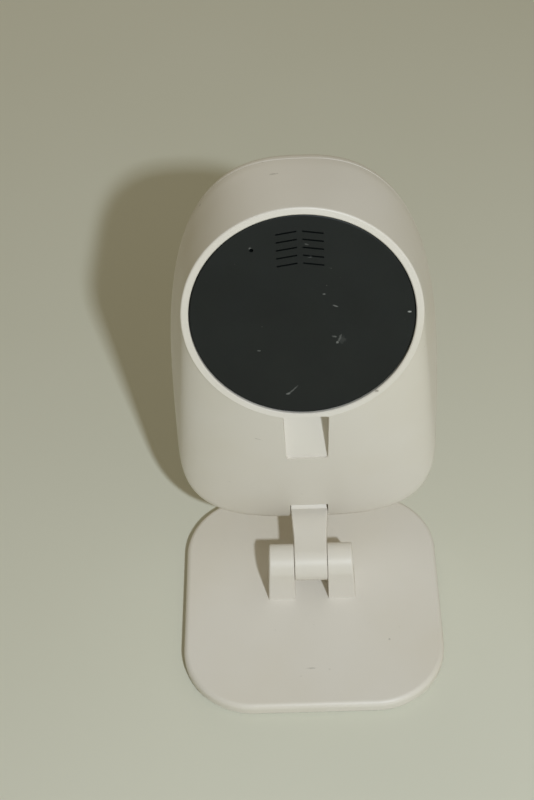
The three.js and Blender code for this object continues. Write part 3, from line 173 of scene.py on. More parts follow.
class CAMERA_PG_optics(bpy.types.PropertyGroup):
    """Sizes of the window, the lens and the infrared lamps. The lens lies in a barrel in a soft sleeve."""

    drop: length("Lens drop", 4.2, "Lens axis below the rim's centre")
    window: length("Window", 20.5, "Radius of the smoked window")
    window_edge: length("Window edge", 0.2, "Rounding of its edges")
    window_back: length("Window back", 27.0, "Depth of its rear face")
    window_front: length("Window front", 28.4, "Depth of its front face")
    seat_edge: length("Seat edge", 0.15, "Bevel of the seat's edge around it")
    seat_lip: length("Seat lip", 0.05, "Start of that bevel ahead of the window's front face")
    clear: length("Clear", 18.8, "Radius of the opening behind it")
    microphone: length("Microphone", 0.6, "Radius of the microphone's hole")
    microphone_low: length("Microphone low", 34.0, "That hole below the rim's centre")
    lens: length("Lens", 4.9, "Radius of the front lens")
    lens_side: length("Lens side", 0.8, "Straight side of the front lens")
    lens_rise: length("Lens rise", 1.5, "Height of its dome")
    sleeve_inner: length("Sleeve inner", 7.5, "Inner radius of the soft sleeve")
    sleeve_outer: length("Sleeve outer", 8.8, "Outer radius of the soft sleeve")
    sleeve_edge: length("Sleeve edge", 0.2, "Bevel of the sleeve's front edges")
    lamp: length("Lamp", 1.5, "Radius of a lamp's dome")
    lamp_foot: length("Lamp foot", 1.8, "Radius of its flanged foot")
    lamp_foot_high: length("Lamp foot high", 0.6, "Height of the foot")
    lamp_ring: length("Lamp ring", 13.8, "Distance of the lamps from the lens axis")


class CAMERA_PG_stand(bpy.types.PropertyGroup):
    """Sizes of the base plate, its lugs and the arm."""

    top: length("Top", 3.6, "Top face of the plate above the table")
    corner: length("Corner", 16.4, "Radius of the plate's corners")
    top_round: length("Top round", 1.2, "Rounding of the plate's top edge")
    foot_round: length("Bottom round", 0.8, "Rounding of the plate's bottom edge")
    foot_border: length("Foot border", 2.6, "Rim of the plate around the soft foot")
    foot_pocket: length("Foot pocket", 1.2, "Top of the pocket for the foot")
    foot_edge: length("Foot edge", 0.25, "Rounding of the foot's lower edge")
    weight_border: length("Weight border", 6.0, "Rim of the plate around the weight")
    weight_pocket: length("Weight pocket", 2.5, "Top of the pocket for the weight")
    knuckle: length("Knuckle", 4.3, "Radius of the lugs' and the arm's round tops")
    knuckle_width: length("Knuckle width", 7.6, "Width of the arm between the lugs")
    lug: length("Lug", 6.4, "Width of each lug at the plate")
    lug_root: length("Lug root", 0.4, "How far the lugs reach into the plate")
    draft: length("Draft", 0.7, "How much each lug narrows towards its top")
    lug_round: length("Lug round", 0.45, "Rounding of the lugs' outer edges")
    lug_inner_round: length("Lug inner round", 0.15, "Rounding of the edges beside the arm")
    gap: length("Gap", 0.09, "Clearance at each side of the arm")
    arm_length: length("Arm length", 16.0, "Distance between the two hinge axes")
    arm_wide: length("Arm width", 8.8, "Width of the arm at the head")
    head_knuckle: length("Head knuckle", 4.0, "Radius of the arm's upper end")
    arm_top: length("Arm top", 2.65, "Top of the arm above the head's hinge axis")
    arm_below: length("Arm below", 2.4, "Underside of the arm below the hinge axes")
    arm_round: length("Arm round", 0.3, "Rounding of the arm's long edges")
    bore: length("Bore", 2.6, "Radius of the arm's two bores")
    pin_bore: length("Pin bore", 1.5, "Radius of the holes for the pins")
    plug_seat: length("Plug seat", 2.2, "Radius of the seat of the cap over the pin")
    pin_room: length("Pin room", 0.3, "Clearance beyond the ends of the pin and its cap")
    sleeve_room: length("Sleeve room", 0.05, "Clearance beyond the end of a hinge's sleeve")


class CAMERA_PG_colours(bpy.types.PropertyGroup):
    """Colours of the finishes, as sRGB hex values."""

    shell: hex_colour("Shell", "#E3DED5", "Warm white ABS")
    shell_aged: hex_colour("Aged shell", "#DDD6C7", "ABS where light has yellowed it")
    cover: hex_colour("Cover", "#0E1313", "Charcoal ABS of the rear cover")
    floor: hex_colour("Floor", "#DADACA", "Pale floor")


def centre_of(node):
    low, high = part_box(node)
    return (Vector(low) + Vector(high)) / 2


LENS_CENTRE = centre_of("lens_front_element")
WINDOW_CENTRE = centre_of("front_glass")

# Marks of use: centre and half sizes in millimetres, turn about Y in degrees, strength.
SHELL_MARKS = [
    ((4.9, -35.3, 102.2), (0.9, 0.3, 0.5), 0, 0.35),
    ((20.7, -37.7, 92.6), (0.3, 0.4, 0.4), 0, 0.4),
    ((10.7, -10.1, 48.9), (0.9, 0.6, 0.18), 24, 0.25),
    ((0.6, 20.2, 3.6), (1.1, 0.2, 0.3), 0, 0.3),
    ((-15.0, -9.3, 64.1), (0.5, 0.3, 0.35), 0, 0.6),
    ((-17.5, 13.0, 3.6), (0.25, 0.25, 0.3), 0, 0.35),
]
COVER_MARKS = [
    ((-21.9, -14.5, 82.0), (0.36, 1.0, 0.2), 0, 0.7),
    ((-7.6, -12.9, 76.5), (0.95, 1.0, 0.24), -68, 0.17),
    ((-7.1, -12.7, 75.6), (0.28, 1.0, 0.26), 0, 0.3),
    ((-8.0, -12.9, 76.2), (0.9, 1.0, 0.8), 0, 0.05),
    ((-6.6, -13.2, 76.9), (0.5, 1.0, 0.22), 10, 0.2),
    ((-6.8, -15.0, 83.9), (0.6, 1.0, 0.14), 20, 0.26),
    ((2.4, -9.8, 64.7), (1.5, 1.0, 0.16), -44, 0.18),
    ((3.5, -9.5, 63.8), (0.5, 1.0, 0.22), -15, 0.28),
    ((9.2, -12.4, 74.2), (0.35, 1.0, 0.15), 0, 0.2),
    ((-4.6, -15.7, 86.6), (0.3, 1.0, 0.15), 0, 0.25),
    ((9.9, -18.1, 97.2), (0.3, 1.0, 0.3), 0, 0.25),
    ((-1.4, -18.3, 97.6), (0.5, 1.0, 0.14), 20, 0.18),
    ((-2.0, -17.6, 94.8), (0.4, 1.0, 0.12), 0, 0.14),
]


# ---------------------------------------------------------------- surfaces


def between(first, last, steps):
    return np.linspace(first, last, steps)


def rounding(radius, steps):
    """The rounded edge of a face as (inset, advance) pairs: for angles a from 0 to 90 degrees the outline
    is set in by r (1 - sin a) at a distance of r (1 - cos a) from the face."""
    return [(radius * (1 - sin(a)), radius * (1 - cos(a))) for a in between(0, pi / 2, steps)]


def turned_about_x(points, angle):
    """Points (x, y cos t - z sin t, y sin t + z cos t)."""
    x, y, z = np.moveaxis(np.asarray(points, float), -1, 0)
    return np.stack([x, y * cos(angle) - z * sin(angle), y * sin(angle) + z * cos(angle)], axis=-1)


def place_in_head(head, points):
    """Turns points from the head's frame about its hinge and moves them to their place."""
    from_hinge = np.asarray(points, float) + (0, head.hinge_depth, head.hinge_low)
    return turned_about_x(from_hinge, head.tilt) + np.array(HEAD_HINGE)


def outline_angles(head):
    """Angles of the outline's points on the full outline and on the rim.

    A half outline is x = a cos(full)^(2/p), z = b sin(full)^(2/q), with the half width a, the height b and
    the powers p across and q up. It faces the angle whose tangent is (q/b) sin(full)^(2 - 2/q) divided by
    (p/a) cos(full)^(2 - 2/p), and its partner on the round rim lies at that angle. Straight lines between
    partners make a skin that bends in one direction only. tan(full) grows as |tan(turn)|^(1/sqrt(bend)),
    where bend = 2 - 2/sqrt(p q), so that the points are spread evenly on both.
    """
    turn = 2 * pi * (np.arange(head.steps) + 0.5) / head.steps
    upper = np.sin(turn) >= 0
    across = np.where(upper, head.crown_across, head.low_power)
    up = np.where(upper, head.crown_up, head.low_power)
    half = head.width / 2
    height = np.where(upper, head.high + head.widest, head.low - head.widest)
    bend = 2 - 2 / np.sqrt(across * up)
    slope = np.abs(np.tan(turn)) ** (1 / np.sqrt(bend))
    full = np.arctan(slope * (height / half) ** (1 / (2 * bend)))
    facing_across = across / half * np.cos(full) ** (2 - 2 / across)
    facing_up = up / height * np.sin(full) ** (2 - 2 / up)
    sides = np.sign(np.cos(turn)), np.where(upper, 1.0, -1.0)
    return sides, (across, up), full, np.arctan2(facing_up, facing_across)


def head_outline(head, inset=0.0, floor=None):
    """The head's full outline: x = +-(half width - inset) cos(full)^(2/p), and the height above or below
    the widest line is (height - inset) sin(full)^(2/q)."""
    (side, way), (across, up), full, _ = outline_angles(head)
    below = inset if floor is None else floor
    height = np.where(way > 0, head.high + head.widest - inset, head.low - head.widest - below)
    x = side * (head.width / 2 - inset) * np.cos(full) ** (2 / across)
    return x, way * height * np.sin(full) ** (2 / up) - head.widest


def rim_circle(head, radius):
    """A circle of that radius whose points face the same ways as the full outline's."""
    (side, way), _, _, rim = outline_angles(head)
    return side * radius * np.cos(rim), way * radius * np.sin(rim)


def on_the_way(first, last, share):
    """The outline that lies at a share of the straight lines from one outline to another."""
    return [a + share * (b - a) for a, b in zip(first, last)]


def rows_at(outlines, depths):
    """Stacks outlines, each an (x, height) pair, at their depths: a grid with one row for each."""
    rows = [np.stack([x, np.full_like(x, -depth), z], axis=-1) for (x, z), depth in zip(outlines, depths)]
    return np.array(rows)


def corner_ring(half, radius, steps):
    """A rectangle with round corners about the origin: the corner centres moved out by r (cos a, sin a)."""
    angle = 2 * pi * (np.arange(steps) + 0.5) / steps
    across, up = np.cos(angle), np.sin(angle)
    return (
        np.sign(across) * (half[0] - radius) + radius * across,
        np.sign(up) * (half[1] - radius) + radius * up,
    )


def closed_skin(name, grid):
    """A mesh through the rows of a grid, each a closed ring, with a flat face over both ends. Its doubles
    are merged and its faces turned outwards."""
    grid = np.asarray(grid, float)
    rows, columns = grid.shape[:2]
    index = np.arange(rows * columns).reshape(rows, columns)
    beside = np.roll(index, -1, axis=1)
    quads = np.stack([index[:-1], beside[:-1], beside[1:], index[1:]], axis=-1).reshape(-1, 4)
    mesh = bpy.data.meshes.new(name)
    faces = [*quads.tolist(), index[0].tolist(), index[-1].tolist()]
    mesh.from_pydata(grid.reshape(-1, 3).tolist(), [], faces)
    edit = bmesh.new()
    edit.from_mesh(mesh)
    bmesh.ops.remove_doubles(edit, verts=edit.verts, dist=1e-7)
    bmesh.ops.recalc_face_normals(edit, faces=edit.faces)
    edit.to_mesh(mesh)
    edit.free()
    return mesh


def cylinder(radius, start, end):
    """The profile of a plain cylinder, as (radius, place) pairs."""
    return [(0, start), (radius, start), (radius, end), (0, end)]


def turned_rings(profile, steps):
    """Circles (r cos a, r sin a) for the radii of a profile of (radius, place) pairs, with the places. A
    pole is a circle of a thousandth of a millimetre."""
    angle = 2 * pi * np.arange(steps) / steps
    for radius, place in profile:
        r = max(radius, 0.001 * MM)
        yield r * np.cos(angle), r * np.sin(angle), np.full(steps, place)


def lathe(name, head, profile, steps=128, x=0.0, height=0.0):
    """A solid of revolution about a line parallel to the lens axis, from (radius, depth) pairs."""
    rings = turned_rings(profile, steps)
    rows = [np.stack([across + x, -depth, up + height], axis=-1) for across, up, depth in rings]
    return closed_skin(name, place_in_head(head, rows))


def tube(name, profile, steps, centre):
    """A solid of revolution about a line along X through centre, from (radius, x) pairs."""
    rings = turned_rings(profile, steps)
    return closed_skin(name, [np.stack([x, y + centre[1], z + centre[2]], axis=-1) for y, z, x in rings])


def box_skin(low, high, place, radius=0.0):
    """A box between two corners, whose four edges along Y can be rounded."""
    low, high = np.array(low, float), np.array(high, float)
    half, middle = (high - low) / 2, (high + low) / 2
    x, z = corner_ring((half[0], half[2]), radius, 32 if radius else 4)
    ring = (x + middle[0], z + middle[2])
    return closed_skin("box", place(rows_at([ring, ring], (-low[1], -high[1]))))


def rounded_square(stand, half, inset, z):
    """The base plate's outline in X and Y, set in evenly."""
    x, y = corner_ring((half - inset, half - inset), stand.corner - inset, 144)
    return np.stack([x, y, np.full_like(x, z)], axis=-1)


# ---------------------------------------------------------------- pieces


def new_object(name, data):
    """An object of the scene's from a mesh, a light or a camera."""
    item = bpy.data.objects.new(name, data)
    bpy.context.scene.collection.objects.link(item)
    return item


def carve(piece, tools, operation="DIFFERENCE"):
    """Cuts meshes out of a piece, joins them to it or keeps what they share, and leaves one plain mesh."""
    helpers = [new_object("helper", mesh) for mesh in tools]
    for helper in helpers:
        step = piece.modifiers.new("carve", "BOOLEAN")
        step.operation = operation
        step.solver = "EXACT"
        step.object = helper
    bpy.context.view_layer.update()
    carved = bpy.data.meshes.new_from_object(piece.evaluated_get(bpy.context.evaluated_depsgraph_get()))
    piece.modifiers.clear()
    piece.data = carved
    for helper in helpers:
        bpy.data.objects.remove(helper)
    return piece


def join_within(piece, block, limit):
    """Joins the part of a block that lies within a closed mesh."""
    helper = new_object("common", block)
    shared = carve(helper, [limit], "INTERSECT").data
    bpy.data.objects.remove(helper)
    carve(piece, [shared], "UNION")


def finish_piece(piece, body, finish_name, replaced, sharp=30.0):
    """Shades a piece, gives it its finish and lets it ride on its body."""
    mesh = piece.data
    mesh.materials.clear()
    mesh.materials.append(material_for(finish_name))
    mesh.shade_smooth()
    mesh.set_sharp_from_angle(angle=radians(sharp))
    normals = piece.modifiers.new("normals", "WEIGHTED_NORMAL")
    normals.keep_sharp = True
    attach(piece, body)
    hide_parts(*replaced)


# ---------------------------------------------------------------- materials


def linear(colour):
    """A colour of the panel's, by its name, or any sRGB hex colour, as a linear colour."""
    value = getattr(bpy.context.scene.camera_colours, colour, colour)
    parts = [int(value[i : i + 2], 16) / 255 for i in (1, 3, 5)]
    return (*[p / 12.92 if p <= 0.04045 else ((p + 0.055) / 1.055) ** 2.4 for p in parts], 1.0)


def add_node(tree, kind, inputs=(), output=None, **settings):
    """Adds a shader node, makes its settings, and fills or links its inputs, which are given by name or in
    their order. It gives the node, or one of its outputs."""
    node = tree.nodes.new("ShaderNode" + kind)
    for name, value in settings.items():
        setattr(node, name, value)
    for name, value in inputs.items() if isinstance(inputs, dict) else enumerate(inputs):
        if isinstance(value, bpy.types.NodeSocket):
            tree.links.new(value, node.inputs[name])
        else:
            node.inputs[name].default_value = value
    return node if output is None else node.outputs[output]


def start_material(name, **sockets):
    """A new material with one Principled shader, and its Object coordinates."""
    material = bpy.data.materials.new(name)
    material.use_nodes = True
    tree = material.node_tree
    tree.nodes.clear()
    inputs = {socket.replace("_", " "): value for socket, value in sockets.items()}
    shader = add_node(tree, "BsdfPrincipled", inputs)
    add_node(tree, "OutputMaterial", {"Surface": shader.outputs["BSDF"]})
    return material, tree, shader, add_node(tree, "TexCoord", output="Object")


def patches(tree, place, size_mm, limits=None, detail=2.0, roughness=0.5, stretch=None):
    """An uneven pattern whose features are about size_mm millimetres across. With limits (a, b, c, d) it
    goes from c to d while the noise goes from a to b."""
    if stretch:
        place = add_node(tree, "Mapping", {"Vector": place, "Scale": stretch}, "Vector")
    inputs = {"Vector": place, "Scale": 1 / (size_mm * MM), "Detail": detail, "Roughness": roughness}
    height = add_node(tree, "TexNoise", inputs, "Fac")
    return add_node(tree, "MapRange", (height, *limits), "Result") if limits else height


def lay_over(tree, colour, *layers):
    """Lays colours over a first one, each by its share from 0 to 1."""
    for share, over in layers:
        # For colours, a Mix node's inputs are 0, 6 and 7, and its result is output 2.
        inputs = {0: share, 6: colour, 7: over}
        colour = add_node(tree, "Mix", inputs, 2, data_type="RGBA")
    return colour


def end_material(tree, shader, colour=None, sheen=None, height=None, depth_mm=0.0, strength=0.5):
    """Links the patterns of the colour, of the roughness and of a relief that is depth_mm deep."""
    normal = None
    if height:
        inputs = {"Height": height, "Distance": depth_mm * MM, "Strength": strength}
        normal = add_node(tree, "Bump", inputs, "Normal")
    for socket, pattern in (("Base Color", colour), ("Roughness", sheen), ("Normal", normal)):
        if pattern:
            tree.links.new(pattern, shader.inputs[socket])


def worn_spots(tree, place, spots):
    """Share from 0 to 1 of the small oval marks of a list. Each has its centre and its three half sizes in
    millimetres, its turn about Y in degrees and its strength; noise makes the edges ragged."""
    ragged = patches(tree, place, 0.5, (0.25, 0.75, -0.55, 0.55), detail=4, roughness=0.7)
    total = 0.0
    for centre, half, angle, strength in spots:
        offset = add_node(tree, "VectorMath", (place, Vector(centre) * MM), 0, operation="SUBTRACT")
        inputs = {"Vector": offset, "Angle": radians(angle)}
        turned = add_node(tree, "VectorRotate", inputs, "Vector", rotation_type="Y_AXIS")
        scaled = add_node(tree, "VectorMath", (turned, Vector(half) * MM), 0, operation="DIVIDE")
        far = add_node(tree, "VectorMath", (scaled,), "Value", operation="LENGTH")
        far = add_node(tree, "Math", (far, ragged), 0, operation="ADD")
        share = add_node(tree, "MapRange", (far, 0.6, 1.2, strength, 0.0), "Result")
        total = add_node(tree, "Math", (total, share), 0, operation="MAXIMUM")
    return total


def moulded_shell():
    """ABS from a lightly spark-eroded mould, warm white: satin, a little aged, with a few scuffs."""
    material, tree, shader, place = start_material("ABS, moulded, warm white", IOR=1.53)
    aged = patches(tree, place, 38, (0.42, 0.66, 0.0, 0.55), detail=3)
    # Handling marks of about half a millimetre, far apart.
    handled = patches(tree, place, 2.6, (0.70, 0.80, 0.0, 0.32), detail=5, roughness=0.62)
    worn = worn_spots(tree, place, SHELL_MARKS)
    layers = (aged, linear("shell_aged")), (handled, linear("#8F8674")), (worn, linear("#6E6557"))
    # The sheen changes over a few millimetres where hands have polished the grain.
    sheen = patches(tree, place, 9, (0.3, 0.7, 0.40, 0.50), detail=3)
    # Spark-eroded grain of about 0.2 mm, drawn at 0.35 mm so that it shows.
    grain = patches(tree, place, 0.35)
    end_material(tree, shader, lay_over(tree, linear("shell"), *layers), sheen, grain, 0.006)
    return material


def moulded_cover():
    """ABS from a fine matt mould, charcoal: dull, with dust and faint hairline scratches."""
    material, tree, shader, place = start_material("ABS, moulded, charcoal", Specular_IOR_Level=0.38)
    cloud = patches(tree, place, 14, (0.35, 0.7, 0.0, 1.0), detail=4)
    dust = patches(tree, place, 0.9, (0.74, 0.80, 0.0, 0.5), detail=3, roughness=0.6)
    worn = worn_spots(tree, place, COVER_MARKS)
    layers = (cloud, linear("#141918")), (dust, linear("#77776F")), (worn, linear("#B4B6B2"))
    sheen = patches(tree, place, 6, (0.3, 0.7, 0.46, 0.58), detail=4)
    # Spark-eroded grain of about 0.1 mm, drawn at 0.3 mm so that it shows.
    grain = patches(tree, place, 0.3)
    end_material(tree, shader, lay_over(tree, linear("cover"), *layers), sheen, grain, 0.005, 0.6)
    return material


def smoked_window():
    """Acrylic, smoked and polished on both sides, printed black behind its border: dark, with what lies
    behind it faintly seen."""
    material, tree, shader, place = start_material("Acrylic, smoked and polished", IOR=1.49)
    haze = patches(tree, place, 12, (0.4, 0.7, 0.02, 0.06), detail=4)
    smoke = patches(tree, place, 20, (0.3, 0.7, 0, 1))
    tint = lay_over(tree, linear("#B6B7BE"), (smoke, linear("#ACADB3")))
    # The ink starts 1.9 mm inside the edge.
    across = add_node(tree, "VectorMath", (place, WINDOW_CENTRE), "Value", operation="DISTANCE")
    clear = add_node(tree, "MapRange", (across, 18.55 * MM, 18.65 * MM, 0.94, 0.0), "Result")
    tree.links.new(clear, shader.inputs["Transmission Weight"])
    end_material(tree, shader, lay_over(tree, linear("#0B0B0C"), (clear, tint)), haze)
    return material


def solder_mask():
    """Glass-epoxy circuit board under green solder mask: glossy, with copper tracks that show through."""
    name = "Circuit board, green solder mask"
    material, tree, shader, place = start_material(name, IOR=1.5, Roughness=0.3)
    # Tracks and pads about 1.1 mm apart.
    inputs = {"Vector": place, "Scale": 0.9 / MM, "Randomness": 0.35}
    cells = add_node(tree, "TexVoronoi", inputs, "Distance", distance="CHEBYCHEV", feature="F1")
    copper = add_node(tree, "MapRange", (cells, 0.30, 0.34, 1.0, 0.0), "Result")
    colour = lay_over(tree, linear("#12402A"), (copper, linear("#2A6B45")))
    end_material(tree, shader, colour, None, copper, 0.03, 0.6)
    return material


def clear_resin():
    """Optical glass and clear epoxy, polished or cast: clear, with a faint wavy surface."""
    sockets = {"Base_Color": linear("#E4EAEE"), "Roughness": 0.03, "IOR": 1.52, "Transmission_Weight": 0.95}
    material, tree, shader, place = start_material("Clear optics, polished", **sockets)
    end_material(tree, shader, height=patches(tree, place, 1.5), depth_mm=0.004, strength=0.4)
    return material


def coated_lens():
    """Optical glass with a broadband coating: dark, with the violet and green of the coating's reflection
    painted into its colour.
    """
    sockets = {"Roughness": 0.02, "IOR": 1.6, "Coat_Weight": 1.0, "Coat_Roughness": 0.02}
    tint = linear("#B9A6FF")
    material, tree, shader, place = start_material("Lens glass, coated", Coat_Tint=tint, **sockets)
    # Painted reflection: the coating is thicker towards the edge, so the painted violet and green of its
    # reflection change over the dome.
    across = add_node(tree, "VectorMath", (place, LENS_CENTRE), "Value", operation="DISTANCE")
    ring = add_node(tree, "MapRange", (across, 0.0, 5 * MM, 0.0, 1.0), "Result")
    # The ramp's violet and green tones are the coating's painted reflection, not the glass's own colour.
    tones = add_node(tree, "ValToRGB", (ring,))
    stops = tones.color_ramp.elements
    stops[0].color = linear("#0A0C16")
    stops[1].position, stops[1].color = 0.55, linear("#1B1440")
    stops.new(0.9).color = linear("#0C2A26")
    wave = patches(tree, place, 6, (0.3, 0.7, 0, 0.25))
    end_material(tree, shader, lay_over(tree, tones.outputs["Color"], (wave, linear("#0A0C16"))))
    return material


def two_tone(
    name, tones, pattern, depth_mm, strength=0.5, share=(0.3, 0.7, 0, 1), sheen=None, grain=None, **sockets
):
    """A finish whose tone follows one pattern. The pattern also gives the sheen, between two values of the
    roughness, and a relief, which can have a finer grain of its own."""
    material, tree, shader, place = start_material(name, **sockets)
    height = patches(tree, place, **pattern)
    tone = add_node(tree, "MapRange", (height, *share), "Result")
    colour = lay_over(tree, linear(tones[0]), (tone, linear(tones[1])))
    if sheen:
        sheen = add_node(tree, "MapRange", (height, 0.3, 0.7, *sheen), "Result")
    if grain:
        height = patches(tree, place, **grain)
    end_material(tree, shader, colour, sheen, height, depth_mm, strength)
    return material


MAKERS = {
    "shell": moulded_shell,
    "cover": moulded_cover,
    "window": smoked_window,
    "lens": coated_lens,
    "circuit_board": solder_mask,
    "clear_optics": clear_resin,
    # Glass-filled: matt, with a faint flow pattern. Its grain of about 0.1 mm is drawn at 0.3 mm so that
    # it shows.
    "black_plastic": partial(
        two_tone,
        "Nylon, moulded, black", IOR=1.53, tones=("#17171A", "#232326"), sheen=(0.42, 0.6),
        pattern={"size_mm": 5, "detail": 3, "stretch": (1, 1, 2.5)}, grain={"size_mm": 0.3}, depth_mm=0.008,
    ),
    # Dull, slightly dusty, with a soft grain.
    "rubber": partial(
        two_tone,
        "Silicone rubber, pressed", IOR=1.43, Roughness=0.85, tones=("#3C3C3B", "#5A5955"),
        pattern={"size_mm": 7, "detail": 5}, share=(0.4, 0.72, 0.0, 0.6),
        grain={"size_mm": 0.4, "detail": 3}, depth_mm=0.02, strength=0.6,
    ),
    # Turned or stamped: bright grey with fine lines along X.
    "steel": partial(
        two_tone,
        "Steel, zinc plated", Metallic=1.0, tones=("#8E9094", "#B4B6B8"), sheen=(0.24, 0.42),
        pattern={"size_mm": 0.5, "detail": 3, "stretch": (0.08, 1, 1)}, depth_mm=0.003,
    ),
    # Stamped sheet: pale, with short streaks.
    "aluminium": partial(
        two_tone,
        "Aluminium, brushed", Metallic=1.0, tones=("#B2B6B9", "#CCCFD1"), sheen=(0.3, 0.48),
        pattern={"size_mm": 0.3, "detail": 4, "stretch": (0.05, 1, 1)}, depth_mm=0.004,
    ),
    # Dark, fibrous and dull.
    "cone": partial(
        two_tone,
        "Paper, pressed, black", Roughness=0.9, tones=("#141413", "#2C2B29"),
        pattern={"size_mm": 0.5, "detail": 6, "roughness": 0.7}, depth_mm=0.03, strength=0.7,
    ),
    # Pale, thin and slightly creased.
    "tape": partial(
        two_tone,
        "Polyester film", IOR=1.57, tones=("#D6D1C6", "#E6E2D8"), sheen=(0.3, 0.5),
        pattern={"size_mm": 3, "detail": 4}, depth_mm=0.02,
    ),
}
# Materials made so far, by the name of their finish.
made_materials = {}


def material_for(finish_name):
    """The material of that finish, made once."""
    if finish_name not in made_materials:
        made_materials[finish_name] = MAKERS[finish_name]()
    return made_materials[finish_name]


# ---------------------------------------------------------------- operators


class CAMERA_OT_stage(bpy.types.Operator):
    """Adds the pale floor, the soft lights and the camera"""

    bl_idname = "security_camera.stage"
    bl_label = "Stage"

    def execute(self, context):
        self.add_floor()
        self.add_lights(context)
        self.add_camera(context)
        return {"FINISHED"}

    def add_floor(self):
        material, tree, shader, place = start_material("Floor, matt paint", Roughness=0.7)
        uneven = patches(tree, place, 60)
        end_material(tree, shader, lay_over(tree, linear("floor"), (uneven, linear("#DDDDCF"))))
        far = 3.0  # half of the floor's side, in metres
        mesh = bpy.data.meshes.new("floor")
        corners = [(-far, -far, 0), (far, -far, 0), (far, far, 0), (-far, far, 0)]
        mesh.from_pydata(corners, [], [(0, 1, 2, 3)])
        mesh.materials.append(material)
        new_object("floor", mesh)

    def add_lights(self, context):
        """Square lamps that face the object, and an even, warm world."""
        centre = Vector((0, -0.01, 0.05))
        # Name, place and side in metres, power in watts, colour.
        lamps = [
            ("key", (-0.122, 0.36, 0.43), 0.022, 1.9, "#EDF6FF"),
            ("fill", (-0.6, 0.3, 0.35), 0.7, 0.3, "#FFF6DC"),
            ("back", (0.25, -0.9, 0.3), 0.6, 0.9, "#FFF9EC"),
        ]
        for name, place, side, watts, colour in lamps:
            lamp = bpy.data.lights.new(name, "AREA")
            lamp.size, lamp.energy, lamp.color = side, watts, linear(colour)[:3]
            holder = new_object(name, lamp)
            holder.location = place
            holder.rotation_euler = (centre - Vector(place)).to_track_quat("-Z", "Y").to_euler()
        world = bpy.data.worlds.new("studio")
        world.use_nodes = True
        background = world.node_tree.nodes["Background"].inputs
        background["Color"].default_value = linear("#FFF2CC")
        background["Strength"].default_value = 0.225
        context.scene.world = world
        context.scene.view_settings.view_transform = "Standard"

    def add_camera(self, context):
        """Looks down at the back of the camera: yaw turns the view about Z, and roll about its own axis."""
        view = bpy.data.cameras.new("view")
        view.lens, view.sensor_width, view.clip_start = 67.5, 36, 0.01
        pitch, yaw, roll = radians(47.85), radians(-2.36), radians(3.68)
        ahead = Vector((-sin(yaw) * cos(pitch), -cos(yaw) * cos(pitch), -sin(pitch)))
        across = Vector((-cos(yaw), sin(yaw), 0))
        down = ahead.cross(across)
        right = cos(roll) * across + sin(roll) * down
        below = -sin(roll) * across + cos(roll) * down
        axes = Matrix((right, -below, -ahead)).transposed()
        holder = new_object("view", view)
        holder.matrix_world = Matrix.Translation((-0.0007, 0.2037, 0.2979)) @ axes.to_4x4()
        context.scene.camera = holder


